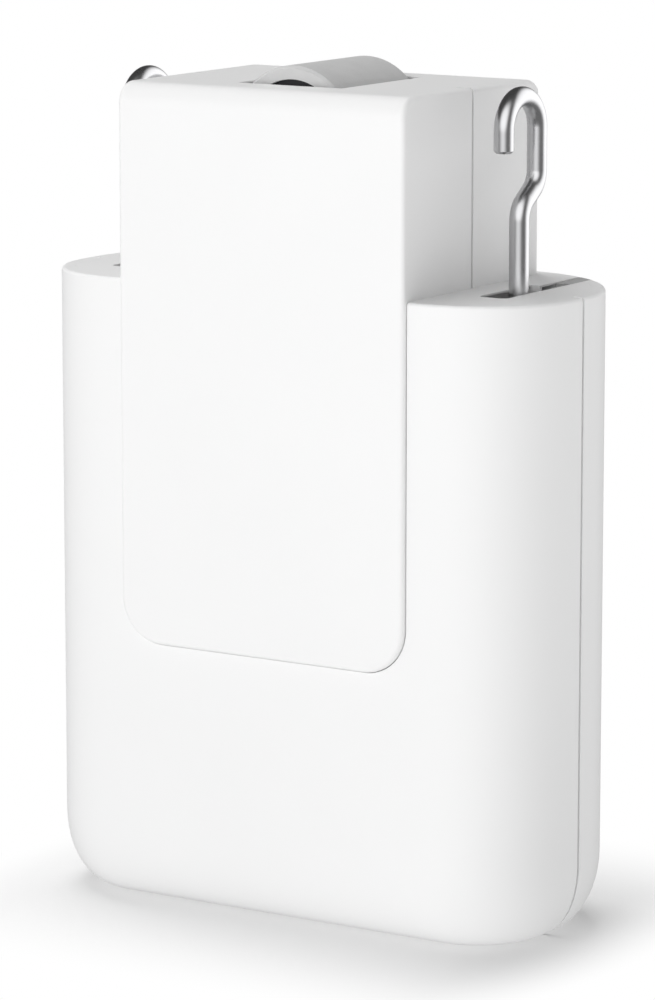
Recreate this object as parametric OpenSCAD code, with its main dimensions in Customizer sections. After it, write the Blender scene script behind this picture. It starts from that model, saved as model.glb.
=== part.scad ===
// Curtain robot that hangs from a curtain track by two sprung wire hooks and
// drives itself along the track with a roller. X is across, Y is front to back
// with the front at -Y, and Z is up from the flat base. Sizes are millimetres.

/* [Body] */
// Width of the body
body_w = 94.8; // [93:0.2:104]
// Depth of the body, front face to back face
body_d = 44.2; // [43.4:0.2:48]
// Height of the shoulders above the base
body_h = 103.9; // [102:0.1:116]
// Wall of the two body shells
wall = 2.2; // [2:0.1:2.6]
// Straight run of a side from the parting plane to the front corner
front_flat = 2.7; // [2:0.1:6]
// Straight run of a side from the parting plane to the back corner
back_flat = 0.8; // [0.6:0.1:5]
// Width of the rounding along the base edge
base_round_w = 7.5; // [6.5:0.1:8.5]
// Height of the rounding along the base edge
base_round_h = 12.2; // [11:0.1:13]
// Tight radius where that rounding meets the base
base_round_r = 5; // [4:0.1:5.5]
// Radius along the rim of the shoulders
rim_r = 0.6; // [0.4:0.1:1.2]
// Distance of the parting plane ahead of the middle
seam_shift = 1.8; // [1:0.1:2.2]
// Width of the parting line
seam_gap = 0.3; // [0.2:0.05:0.4]
// Thickness of the lip inside the parting line
lip_t = 0.9; // [0.7:0.1:1.2]
// Reach of that lip past the parting plane
lip_reach = 1.5; // [1:0.1:1.6]
// Thickness of the shoulder deck
deck_t = 3; // [2.6:0.1:3.4]
// Gap between a plate and the rim round it
plate_gap = 0.12; // [0.08:0.02:0.2]
// Width and thickness of the ledge under a plate
ledge = 1.2; // [1:0.1:1.4]

/* [Tower and front panel] */
// Width of the tower and of the panel's tongue
tower_w = 54; // [53:0.2:57]
// Height of the tower above the shoulders
tower_h = 31.8; // [31:0.1:38]
// Distance of the tower's back ahead of the body's back
tower_setback = 2.5; // [1:0.1:3]
// Wall of the tower's sides
tower_wall = 1.8; // [1.5:0.1:2]
// Thickness of the tower's back wall
tower_back_t = 2.4; // [2.2:0.1:2.5]
// Radius of the tower's upright back edges
tower_back_r = 2.1; // [1.5:0.1:2.1]
// Radius of the tower's upper corners, seen from the side
tower_corner_r = 3.1; // [2.6:0.1:3.4]
// Radius of the edge round each of the tower's sides
tower_edge_r = 0.8; // [0.3:0.1:1]
// Length of the tongue below the shoulders
tongue_drop = 59.6; // [40:0.1:70]
// Radius of the tongue's lower corners
tongue_r = 7.5; // [4:0.1:12]
// How far the tongue stands out of the body
tongue_proud = 1; // [0.6:0.1:1.2]
// Thickness of the front panel
panel_t = 2.2; // [1.8:0.1:2.3]
// Radius round the tongue's front edge
panel_edge_r = 0.8; // [0.3:0.1:1]
// Thickness of the tower's cap
cap_t = 1.8; // [1.5:0.1:1.9]
// Radius of the pegs that hold the tongue
peg_r = 2; // [1.5:0.1:2.5]
// Spacing of those pegs
peg_span = 32; // [26:0.5:38]

/* [Roller] */
// Radius of the roller
roller_r = 11.35; // [11:0.05:11.6]
// Gap between the roller and its front bearing plate
roller_front_gap = 2.8; // [2.4:0.1:3.4]
// Gap between the roller and its back bearing plate
roller_back_gap = 0.65; // [0.5:0.05:0.9]
// Height of the roller above the tower
roller_rise = 3.1; // [2.9:0.1:3.4]
// Thickness of the tyre
tyre_t = 2.2; // [1.6:0.1:3]
// Chamfer at the tyre's ends
tyre_chamfer = 0.4; // [0.2:0.1:0.6]
// Gap between the roller and its window, along X
window_side = 2; // [1.9:0.1:2.4]
// Gap between the roller and its window, along Y
window_end = 0.8; // [0.5:0.1:0.9]
// Radius of the axle
axle_r = 2; // [1.6:0.1:2.3]
// Outer radius of the bushes
bush_r = 3.4; // [3:0.1:3.8]

/* [Hooks] */
// Distance of each hook from the side of the body
hook_inset = 11.8; // [11.4:0.1:12.2]
// Diameter of the hook wire
wire_d = 3.2; // [2.6:0.1:3.4]
// Radius of the hook's bowl, to the wire's centre
bowl_r = 5.15; // [4.9:0.05:6]
// Height of the bowl above the tower
hook_rise = 0.7; // [0:0.1:4]
// Length of the hook's nose below the bowl's centre
nose_l = 3.35; // [2:0.05:5]
// Step from the stem back to the hook's long leg
jog = 5.35; // [5.1:0.05:6.2]
// Angle of that step
jog_angle = 55; // [45:1:60]
// Bend radius of that step, to the wire's centre
jog_r = 3.8; // [3.4:0.1:4.4]
// Height of the middle of the step below the bowl's centre
jog_drop = 10.6; // [9.6:0.1:12]
// How far a hook can be pulled out
hook_travel = 12; // [8:0.5:14]
// Width of the slot that a hook stands in
slot_w = 5.1; // [4.6:0.1:5.4]
// Hook slot, from the stem's axis to the outer edge
slot_outer = 2.2; // [2:0.1:2.3]
// Hook slot, width of the narrow part behind the stem
slot_tail_w = 3.3; // [3:0.1:4]
// Hook slot, from the stem's axis back to the narrow part
slot_step = 8.6; // [6:0.1:10]
// Distance of the slot's front end ahead of the stem
slot_ahead = 7.8; // [5:0.1:8]
// Length of a hook spring at rest
spring_l = 26.8; // [24:0.1:28]
// Radius of a spring's coil, to its wire's centre
spring_r = 3; // [2.8:0.1:3.2]
// Diameter of the spring wire
spring_d = 0.7; // [0.5:0.05:0.8]
// Turns of a spring
spring_turns = 9; // [7:1:10]
// Height of the collar under a spring
collar_h = 3.2; // [2.5:0.1:4]
// Radius of that collar and of the guide's nose
collar_r = 4.2; // [4:0.1:4.4]

/* [Drive] */
// Module of the gears
gear_module = 0.8; // [0.78:0.01:0.82]
// Teeth of the roller gear
roller_teeth = 13; // [12:1:13]
// Teeth of the idler gear
idler_teeth = 20; // [18:2:20]
// Teeth of the drive gear
drive_teeth = 24; // [22:2:24]
// Thickness of the gears
gear_t = 2.8; // [2.2:0.1:2.9]
// Play between meshing teeth
backlash = 0.16; // [0.12:0.02:0.24]
// Thickness of the frame's bearing plates
plate_t = 2.4; // [2:0.1:2.5]
// Radius of the motor's gearbox
gearbox_r = 11; // [10:0.1:11.5]
// Length of the motor's gearbox
gearbox_l = 13; // [11:0.1:14]
// Radius of the motor's can
can_r = 10.2; // [9:0.1:10.6]
// Room ahead of the motor's can
motor_room = 5.5; // [5:0.1:7]
// Radius of the idler's pin
pin_r = 1.5; // [1.2:0.1:1.7]

/* [Power and board] */
// Diameter of a battery cell
cell_d = 18.4; // [18:0.1:18.6]
// Length of a battery cell
cell_l = 65; // [60:0.5:66]
// Height of the lower cell's axis
cell_z = 24; // [23.6:0.1:26]
// Gap between the cells
cell_gap = 1; // [0.6:0.1:1.4]
// Width of the circuit board
board_w = 50; // [48:0.5:51]
// Height of the circuit board
board_h = 71; // [68:0.5:72]
// Thickness of the circuit board
board_t = 1.6; // [1:0.1:1.7]
// Width of the charging socket
socket_w = 8.94; // [8.9:0.01:9]
// Thickness of the charging socket
socket_t = 3.2; // [3.1:0.01:3.26]
// Depth of the charging socket
socket_l = 7.4; // [6.5:0.1:8]
// Radius of the button
button_r = 2.4; // [2:0.1:2.8]
// Travel of the button
button_travel = 0.6; // [0.4:0.1:0.6]
// Distance of the button and of the light from the socket
button_x = 14; // [12:0.1:16]
// Radius of the light pipe
light_r = 1.2; // [1:0.1:1.5]

/* [Fits] */
// Radial clearance of a running shaft
running_fit = 0.05; // [0.03:0.01:0.08]
// Clearance of a part that slides or drops into place
loose_fit = 0.1; // [0.08:0.01:0.14]
// Radial gap of a part pressed on its shaft
tight_fit = 0.01; // [0.01:0.01:0.02]
// Least gap beside a part that moves
moving_gap = 0.3; // [0.3:0.05:0.4]
// Shank radius of the screws
screw_r = 1.1; // [1:0.05:1.25]
// Head radius of the screws
screw_head_r = 2.2; // [2:0.1:2.4]
// Head height of the screws
screw_head_h = 1.4; // [1.2:0.1:1.6]

/* [Hidden] */
$fn = 64;
// Length by which a cutting shape passes a face
past = 1;
white = [0.93, 0.93, 0.93];
steel = [0.72, 0.73, 0.75];
black = [0.10, 0.10, 0.11];
grey = [0.62, 0.63, 0.64];

// Places along Y
front_y = -(body_d + tongue_proud) / 2;
shell_front_y = front_y + tongue_proud;
back_y = shell_front_y + body_d;
seam_y = -seam_shift;
tower_back_y = back_y - tower_setback;
tower_wall_y = tower_back_y - tower_back_t;
front_depth = seam_y - shell_front_y;
back_depth = back_y - seam_y;
front_corner_r = front_depth - front_flat;
back_corner_r = back_depth - back_flat;
panel_back_y = front_y + panel_t;
lip_y = seam_y - lip_reach - 2 * lip_t;

// Places along Z
tower_top = body_h + tower_h;
deck_z = body_h - deck_t;
lip_top = deck_z - 2 * ledge;
cap_z = tower_top - cap_t;
tongue_z = body_h - tongue_drop;

// The roller and what carries it
roller_z = tower_top + roller_rise - roller_r;
hub_r = roller_r - tyre_t;
axle_room = 2.65;
cover_room = 0.2;
cover_t = 1;
gear_gap = 0.4;
front_plate_y = panel_back_y + axle_room;
roller_front_y = front_plate_y + plate_t + roller_front_gap;
cover_y = tower_wall_y - cover_room - cover_t;
gear_y = cover_y - moving_gap - gear_t;
back_plate_y = gear_y - gear_gap - plate_t;
roller_back_y = back_plate_y - roller_back_gap;
roller_l = roller_back_y - roller_front_y;
frame_top = cap_z - 0.3;
frame_w = 38;
plate_w = 31;

// Gear centres, one above the other
idler_z = roller_z - gear_module * (roller_teeth + idler_teeth) / 2;
drive_z = idler_z - gear_module * (idler_teeth + drive_teeth) / 2;
frame_foot_w = 5;
frame_foot_t = 2.5;
frame_foot_y = [-11, 8];
web_t = 2;
web_h = 9;
cover_post_r = 2;
cover_post_x = plate_w / 2 - cover_post_r;
cover_low = drive_z - gear_module * (drive_teeth / 2 + 1) - 2;
cover_posts_z = [cover_low + cover_post_r, body_h + web_h - cover_post_r];
small_screw_r = 0.8;
small_screw_l = 3;
small_head_r = 1.5;
small_head_h = 0.5;
shaft_r = 2;
shaft_depth = 6;
motor_screw_x = 7.5;
motor_screw_l = 4;
motor_pins = 2.5;
can_l = back_plate_y - gearbox_l - shell_front_y - wall - motor_room;

// Hook and its spring
hook_x = body_w / 2 - hook_inset;
wire_r = wire_d / 2;
weld_l = 0.1;
weld_step = 0.02;
bowl_z = tower_top + hook_rise - wire_r - bowl_r;
bowl_y = seam_y + jog - bowl_r;
jog_z = bowl_z - jog_drop;
guide_t = 3;
guide_nose = 4;
guide_z = deck_z - guide_t;
spring_top = guide_z - guide_nose;
collar_top = spring_top - spring_l;
stem_end = collar_top - collar_h;
slot_front_y = seam_y - slot_ahead;
slot_side = hook_x + slot_outer;
slot_corner_r = 1;
guide_ahead = 3.2;
guide_behind = 11;
guide_side = 5;
tab_behind = 4.7;
tab_y = seam_y + slot_step + tab_behind;
tab_drop = 1;

// Inner frame, board and cells
spine_t = 1.8;
spine_y = seam_y - 3 - spine_t;
spine_w = 58;
spine_low = cell_z - cell_d / 2 - 1.5;
spine_rise = 14;
spine_top = stem_end + spine_rise;
cell_y = spine_y + spine_t + cell_d / 2 + 3.4;
cell_centres = [cell_z, cell_z + cell_d + cell_gap];
saddle_t = 2;
saddle_x = cell_l / 2 - 11;
shelf_t = 2.8;
shelf_reach = 5.6;
board_back_y = spine_y - socket_t - 0.9;
board_y = board_back_y - board_t;
board_z = 6.5;
board_screw_x = board_w / 2 - 4;
board_screw_low = 9;
board_screw_high = 6;
board_screw_z = [board_z + board_screw_low, board_z + board_h - board_screw_high];
board_screw_grip = 3;
shield_w = 18;
shield_h = 22;
shield_t = 2.2;
shield_drop = 30;
chip_w = 7;
chip_t = 1.2;
chip_x = 14.5;
chip_z = 26;
driver_w = 5;
driver_h = 6;
driver_x = 10.5;
driver_z = 24;
can_cap_r = 3.2;
can_cap_l = 4.5;
can_cap_z = 18;
plug_w = 8;
plug_h = 5;
plug_t = 4;
plug_x = 16;
plug_drop = 22;
board_post_r = 2.4;
socket_y = board_back_y + socket_t / 2;
socket_z = 0.6;
button_z = 0.3;
button_flange_r = button_r + 0.8;
button_flange_z = wall + moving_gap;
button_flange_t = 1;
button_stem_r = 1.2;
button_top = button_flange_z + button_flange_t + 2.4;
switch_z = button_top + button_travel + moving_gap;
led_z = 7;
led_w = 3.2;
led_t = 2.6;
led_h = 1.6;
pipe_flange = 1;

// Screws that close the body: below the cells, and beside the motor
case_screw_x = [30, 21];
case_screw_low = 9;
case_screw_drop = 11;
case_screw_z = [case_screw_low, body_h - case_screw_drop];
boss_r = 4;
boss_tip_r = 2.9;
well_r = screw_head_r + 0.4;
well_floor = 3;
case_screw_y = seam_y + well_floor;
case_screw_l = 9;

// Rounding of the base edge, drawn as two arcs that meet smoothly
side_arc_r = (pow(base_round_w, 2) + pow(base_round_h - base_round_r, 2) - pow(base_round_r, 2))
    / (2 * (base_round_w - base_round_r));

// Waste outside the rounded base edge, for a form inset from the outer face
module base_waste(inset) {
    side_centre = [side_arc_r - inset, base_round_h - inset];
    low_centre = [base_round_w - inset, base_round_r - inset];
    run = low_centre - side_centre;
    beyond = side_centre + run / norm(run) * (side_arc_r - inset + 2 * past);
    difference() {
        translate([-past, -past]) square([low_centre[0] + past, side_centre[1] + past]);
        translate(low_centre) circle(base_round_r - inset);
        intersection() {
            translate(side_centre) circle(side_arc_r - inset);
            polygon([side_centre, beyond, [-2 * past, beyond[1]], [-2 * past, side_centre[1]]]);
        }
    }
}

// Waste outside a round edge of radius r at the corner of a strip
module edge_waste(height, r) {
    translate([0, height - r]) difference() {
        translate([-past, 0]) square([r + past, r + past]);
        translate([r, 0]) circle(r);
    }
}

// Upright strip from the outer face inwards, rounded at the base and the rim
module side_strip(reach, height, inset, top_r) {
    difference() {
        square([reach, height]);
        base_waste(inset);
        if (top_r > 0) edge_waste(height, top_r);
    }
}

// Turns a strip to face outwards at radius r, cut off at the axis
module about_axis(r, height) {
    intersection() {
        translate([r, 0]) mirror([1, 0]) children();
        square([r, height]);
    }
}

// Half of the body's form, from the parting plane at y = 0 to its outer face
module half_form(corner_r, depth, inset, top, top_r = 0, start = 0) {
    w = body_w / 2 - inset;
    r = corner_r - inset;
    d = depth - inset;
    h = top - inset;
    translate([0, 0, inset]) {
        translate([0, d - r, 0]) rotate([90, 0, 0]) linear_extrude(d - r - start)
            for (side = [0, 1]) mirror([side, 0])
                translate([-w, 0]) side_strip(w + past, h, inset, top_r);
        translate([-(w - r), d, 0]) mirror([0, 1, 0]) rotate([90, 0, 90])
            linear_extrude(2 * (w - r)) side_strip(r, h, inset, top_r);
        for (side = [0, 1]) mirror([side, 0, 0]) translate([w - r, d - r, 0])
            rotate_extrude(angle = 90) about_axis(r, h) side_strip(r + past, h, inset, top_r);
    }
}

// Plan of the same half
module half_plan(corner_r, depth, inset, start = 0) {
    w = body_w / 2 - inset;
    r = corner_r - inset;
    d = depth - inset;
    intersection() {
        translate([-w, start]) square([2 * w, d - start]);
        union() {
            translate([-w, -body_d]) square([2 * w, body_d + d - r]);
            translate([-(w - r), -body_d]) square([2 * (w - r), body_d + d]);
            for (side = [-1, 1]) translate([side * (w - r), d - r]) circle(r);
        }
    }
}

// Hollow half shell with the ledge that carries the deck
module half_shell(corner_r, depth) {
    difference() {
        half_form(corner_r, depth, 0, body_h, rim_r, seam_gap / 2);
        half_form(corner_r, depth, wall, body_h + past, 0, -past);
    }
    translate([0, 0, deck_z - ledge]) linear_extrude(ledge) difference() {
        half_plan(corner_r, depth, wall / 2, lip_reach + seam_gap);
        half_plan(corner_r, depth, wall + ledge, -past);
    }
}

// Stands a half on the parting plane, facing the front or the back
module facing_front() { translate([0, seam_y, 0]) rotate([0, 0, 180]) children(); }
module facing_back() { translate([0, seam_y, 0]) children(); }

// Rod along +Y from y, and a 2D outline in X and Z made solid from y for a length
module rod(x, y, z, r, length) { translate([x, y, z]) rotate([-90, 0, 0]) cylinder(r = r, h = length); }
module upright(y, length) { translate([0, y + length, 0]) rotate([90, 0, 0]) linear_extrude(length) children(); }

// Copies for every case screw and for each side
module at_case_screws() {
    for (row = [0, 1], side = [-1, 1]) translate([side * case_screw_x[row], 0, case_screw_z[row]]) children();
}
module on_both_sides() { for (side = [0, 1]) mirror([side, 0, 0]) children(); }

// Outline of the panel with its tower and tongue, grown by a gap
module panel_outline(gap) {
    w = tower_w / 2 + gap;
    r = tongue_r + gap;
    low = tongue_z - gap;
    translate([-w, low + r]) square([2 * w, tower_top - low - r]);
    translate([-(w - r), low]) square([2 * (w - r), r]);
    for (side = [-1, 1]) translate([side * (w - r), low + r]) circle(r);
}

// Slot in the deck for a hook's stem: wide round the stem, then narrow, and open towards the rim
module hook_slot() {
    translate([slot_side, slot_front_y, deck_z - past]) linear_extrude(deck_t + 2 * past) {
        translate([-slot_w, slot_corner_r]) square([slot_w, slot_ahead + slot_step - slot_corner_r]);
        translate([slot_corner_r - slot_w, 0]) square([slot_w - 2 * slot_corner_r, slot_corner_r]);
        for (x = [slot_corner_r - slot_w, -slot_corner_r]) translate([x, slot_corner_r]) circle(slot_corner_r);
        translate([-slot_tail_w, slot_corner_r]) square([slot_tail_w, body_d]);
    }
}

// Tab that stands on the back cover's ledge in the end of a hook's slot
module slot_tab() {
    translate([slot_side - slot_tail_w + plate_gap, tab_y, deck_z - ledge])
        cube([slot_tail_w - 2 * plate_gap, back_y - tab_y, deck_t + ledge - tab_drop]);
}

// Flat outline of the charging socket, grown by a gap
module socket_outline(gap) {
    r = socket_t / 2 + gap;
    reach = (socket_w - socket_t) / 2;
    translate([-reach, -r]) square([2 * reach, 2 * r]);
    for (side = [-1, 1]) translate([side * reach, 0]) circle(r);
}

module front_shell() color(white) difference() {
    union() {
        facing_front() half_shell(front_corner_r, front_depth);
        // Lip that closes the parting line from inside
        upright(lip_y, seam_y + lip_reach - lip_y) lip_band(wall + loose_fit);
        upright(lip_y, seam_y - seam_gap / 2 - lip_y) lip_band(wall / 2);
        // Bosses for the screws that close the body, with a shoulder for the inner frame
        intersection() {
            facing_front() half_form(front_corner_r, front_depth, wall / 2, body_h, 0, -past);
            at_case_screws() union() {
                rod(0, shell_front_y, 0, boss_r, spine_y - shell_front_y);
                rod(0, shell_front_y, 0, boss_tip_r, front_depth - seam_gap / 2);
            }
        }
    }
    at_case_screws() rod(0, case_screw_y - case_screw_l - past, 0, screw_r, case_screw_l + past);
    // Pocket for the tongue, and holes for its pegs
    upright(shell_front_y - past, panel_t - tongue_proud + past) panel_outline(plate_gap);
    for (side = [-1, 1])
        rod(side * peg_span / 2, shell_front_y - past, tongue_z + tongue_r, peg_r + loose_fit, 2 * wall + past);
    // Socket, button and light in the base
    translate([0, socket_y, -past]) linear_extrude(2 * wall + past) socket_outline(loose_fit);
    translate([-button_x, socket_y, -past]) cylinder(r = button_r + loose_fit, h = wall + 2 * past);
    translate([button_x, socket_y, -past]) cylinder(r = light_r + loose_fit, h = wall + 2 * past);
}

// Cross-section of the lip: a band from an inset to the lip's inner face, open at the top
module lip_band(inset) {
    difference() {
        body_section(inset, lip_top);
        body_section(wall + loose_fit + lip_t, lip_top + past);
    }
}

// Cross-section of the body, inset, up to a height
module body_section(inset, top) {
    w = body_w / 2 - inset;
    translate([0, inset]) for (side = [0, 1]) mirror([side, 0]) translate([-w, 0])
        side_strip(w + past, top - inset, inset, 0);
}

module back_cover() color(white) difference() {
    union() {
        facing_back() half_shell(back_corner_r, back_depth);
        intersection() {
            facing_back() half_form(back_corner_r, back_depth, wall / 2, body_h, 0, -past);
            union() {
                at_case_screws() rod(0, seam_y + seam_gap / 2, 0, boss_r, back_depth);
                on_both_sides() slot_tab();
            }
        }
    }
    at_case_screws() {
        rod(0, seam_y - past, 0, screw_r + loose_fit, back_depth);
        rod(0, case_screw_y, 0, well_r, back_depth);
    }
}

module shoulder_deck() color(white) difference() {
    translate([0, 0, deck_z]) linear_extrude(deck_t) {
        facing_front() half_plan(front_corner_r, front_depth, wall + plate_gap, -past);
        facing_back() half_plan(back_corner_r, back_depth, wall + plate_gap, -past);
    }
    on_both_sides() hook_slot();
    // Window for the bearing frame and the motor
    translate([-frame_w / 2 - loose_fit, front_plate_y - loose_fit, deck_z - past])
        cube([frame_w + 2 * loose_fit, cover_y + cover_t - front_plate_y + 2 * loose_fit, deck_t + 2 * past]);
    at_frame_screws() translate([0, 0, deck_z - past]) cylinder(r = screw_r, h = deck_t + 2 * past);
}

// Strip of a plate from its edge inwards, with a round front edge
module plate_strip(reach, thickness, edge_r) {
    difference() {
        square([reach, thickness]);
        edge_waste(thickness, edge_r);
    }
}

// Upright plate with round corners and a round edge on the face at z = thickness
module faced_plate(w, h, low_r, top_r, thickness, edge_r) {
    translate([0, h - top_r, 0]) rotate([90, 0, 0]) linear_extrude(h - top_r - low_r)
        for (side = [0, 1]) mirror([side, 0])
            translate([-w / 2, 0]) plate_strip(w / 2 + past, thickness, edge_r);
    translate([low_r - w / 2, 0, 0]) rotate([90, 0, 90]) linear_extrude(w - 2 * low_r)
        plate_strip(low_r, thickness, edge_r);
    translate([top_r - w / 2, h, 0]) mirror([0, 1, 0]) rotate([90, 0, 90]) linear_extrude(w - 2 * top_r)
        plate_strip(top_r, thickness, edge_r);
    on_both_sides() {
        translate([w / 2 - low_r, low_r, 0]) rotate(-90) plate_corner(low_r, thickness, edge_r);
        translate([w / 2 - top_r, h - top_r, 0]) plate_corner(top_r, thickness, edge_r);
    }
}

module plate_corner(r, thickness, edge_r) {
    rotate_extrude(angle = 90) about_axis(r, thickness) plate_strip(r + past, thickness, edge_r);
}

// Solid form of the tower above the shoulders
module tower_form() {
    depth = tower_back_y - front_y;
    side_h = tower_h + 2 * tower_corner_r;
    difference() {
        on_both_sides() translate([0, front_y + depth / 2, tower_top - side_h]) rotate([90, 0, 90])
            faced_plate(depth, side_h, tower_corner_r, tower_corner_r, tower_w / 2, tower_edge_r);
        translate([-tower_w, -body_d, 0]) cube([2 * tower_w, 2 * body_d, body_h]);
        on_both_sides() translate([-tower_w / 2, 0, body_h - past]) linear_extrude(tower_h + 2 * past)
            edge_waste(tower_back_y, tower_back_r);
    }
}

module tower_gap(inset, front, back, low, high) {
    translate([inset - tower_w / 2, front, low]) cube([tower_w - 2 * inset, back - front, high - low]);
}

// Room inside the tower, with ledges and a recess for the cap
module tower_room() {
    tower_gap(tower_wall, panel_back_y, tower_wall_y, body_h - past, cap_z - ledge);
    tower_gap(tower_corner_r + ledge, panel_back_y, tower_wall_y, cap_z - 2 * ledge, cap_z);
    tower_gap(tower_corner_r, front_y + tower_corner_r, tower_back_y - tower_corner_r, cap_z, tower_top + past);
}

module front_panel() color(white) {
    difference() {
        union() {
            translate([0, panel_back_y, tongue_z]) rotate([90, 0, 0])
                faced_plate(tower_w, tower_top - tongue_z + tongue_r, tongue_r, tongue_r, panel_t, panel_edge_r);
            upright(panel_back_y, seam_y - seam_gap / 2 - panel_back_y) difference() {
                translate([-tower_w / 2, body_h]) square([tower_w, tower_h]);
                for (side = [0, 1]) mirror([side, 0])
                    translate([-tower_w / 2, body_h]) edge_waste(tower_h, tower_edge_r);
            }
        }
        tower_room();
        translate([-tower_w, front_y, 0]) rotate([90, 0, 90]) linear_extrude(2 * tower_w)
            edge_waste(tower_top, tower_corner_r);
        translate([-tower_w, -body_d, tower_top]) cube([2 * tower_w, 2 * body_d, 2 * tongue_r]);
    }
    for (side = [-1, 1])
        rod(side * peg_span / 2, panel_back_y, tongue_z + tongue_r, peg_r, wall);
}

module tower_back() color(white) difference() {
    tower_form();
    translate([-tower_w, -body_d, 0]) cube([2 * tower_w, body_d + seam_y + seam_gap / 2, 2 * tower_top]);
    tower_room();
}

module tower_cap() color(white) {
    inset = tower_corner_r + plate_gap;
    low_y = front_y + inset;
    half = sqrt(pow(roller_r, 2) - pow(tower_top - roller_z, 2)) + window_side;
    translate([0, 0, cap_z]) linear_extrude(cap_t) difference() {
        translate([inset - tower_w / 2, low_y]) square([tower_w - 2 * inset, tower_back_y - inset - low_y]);
        translate([-half, roller_front_y - window_end]) square([2 * half, roller_l + 2 * window_end]);
    }
}

module roller_tyre() color(grey) rod_turn(roller_front_y) difference() {
    polygon([[hub_r + tight_fit, 0], [roller_r - tyre_chamfer, 0], [roller_r, tyre_chamfer],
        [roller_r, roller_l - tyre_chamfer], [roller_r - tyre_chamfer, roller_l], [hub_r + tight_fit, roller_l]]);
}

// Solid of revolution about the roller's axis, from y towards the back
module rod_turn(y) { translate([0, y, roller_z]) rotate([-90, 0, 0]) rotate_extrude() children(); }

module roller_hub() color(black) difference() {
    sleeve_t = 1.6;
    boss = axle_r + 2.2;
    web = 3;
    ribs = 6;
    recess = 0.6;
    length = roller_l - 2 * recess;
    union() {
        rod_turn(roller_front_y + recess) {
            translate([hub_r - sleeve_t, 0]) square([sleeve_t, length]);
            square([boss, length]);
            translate([0, (length - web) / 2]) square([hub_r, web]);
        }
        for (turn = [0 : ribs - 1]) translate([0, roller_front_y + 3 * recess, roller_z])
            rotate([0, turn * 360 / ribs, 0]) translate([-sleeve_t / 2, 0, boss - 0.5])
                cube([sleeve_t, length - 4 * recess, hub_r - sleeve_t - boss + 1]);
    }
    rod(0, roller_front_y - past, roller_z, axle_r + tight_fit, roller_l + 2 * past);
}

module roller_axle() color(steel)
    rod(0, front_plate_y - 1.2, roller_z, axle_r, gear_y + gear_t - front_plate_y + 1.2);

// Involute gear outline with a tooth towards +Y
function involute(radius, base_r) = let (a = acos(min(1, base_r / radius))) tan(a) * 180 / PI - a;
module gear_outline(teeth) {
    pressure = 25;
    pitch_r = gear_module * teeth / 2;
    base_r = pitch_r * cos(pressure);
    tip_r = pitch_r + 0.9 * gear_module;
    root_r = pitch_r - 1.15 * gear_module;
    half = 90 / teeth - backlash / 2 / pitch_r * 90 / PI + involute(pitch_r, base_r);
    steps = 4;
    start_r = max(base_r, root_r);
    radii = concat([root_r], [for (k = [0 : steps]) start_r + (tip_r - start_r) * k / steps]);
    flank = [for (r = radii) [r, half - involute(max(r, base_r), base_r)]];
    last = len(flank) - 1;
    polygon([for (tooth = [0 : teeth - 1], side = [-1, 1], k = [0 : last])
        let (point = flank[side < 0 ? k : last - k], a = 90 + tooth * 360 / teeth + side * point[1])
        point[0] * [cos(a), sin(a)]]);
}

module gear(teeth, z, turn, y, bore_r) {
    difference() {
        translate([0, 0, z]) upright(y, gear_t) rotate(turn) gear_outline(teeth);
        rod(0, y - past, z, bore_r, gear_t + 2 * past);
    }
}

module roller_gear() color(white) gear(roller_teeth, roller_z, 180, gear_y, axle_r + tight_fit);

module idler_gear() color(white) gear(idler_teeth, idler_z, 180 / idler_teeth, gear_y, pin_r + running_fit);

module drive_gear() color(white) {
    gear(drive_teeth, drive_z, 0, gear_y, shaft_r);
    rod(0, back_plate_y - shaft_depth + moving_gap, drive_z, shaft_r,
        gear_y + gear_t - back_plate_y + shaft_depth - moving_gap);
}

module idler_pin() color(steel)
    rod(0, back_plate_y, idler_z, pin_r, cover_y + cover_t - back_plate_y);

// Spring clips on the axle, one on each side of its front bush
module axle_clips() color(steel) {
    clip_t = 0.6;
    clip_w = 1.4;
    mouth = axle_r * 1.4;
    for (y = [front_plate_y - moving_gap - clip_t, front_plate_y + plate_t + moving_gap]) difference() {
        rod(0, y, roller_z, axle_r + clip_w, clip_t);
        rod(0, y - past, roller_z, axle_r + tight_fit, clip_t + 2 * past);
        translate([-mouth / 2, y - past, roller_z - axle_r - 2 * clip_w])
            cube([mouth, clip_t + 2 * past, axle_r + clip_w]);
    }
}

module roller_bushes() color(steel) for (y = [front_plate_y, back_plate_y]) difference() {
    rod(0, y, roller_z, bush_r, plate_t);
    rod(0, y - past, roller_z, axle_r + running_fit, plate_t + 2 * past);
}

// Places of the screws through the frame's feet, its gear cover and the motor
module at_frame_screws() {
    for (side = [-1, 1], y = frame_foot_y) translate([side * (frame_w + frame_foot_w) / 2, y, 0]) children();
}
module at_cover_posts() {
    for (side = [-1, 1], z = cover_posts_z) translate([side * cover_post_x, 0, z]) children();
}

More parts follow.
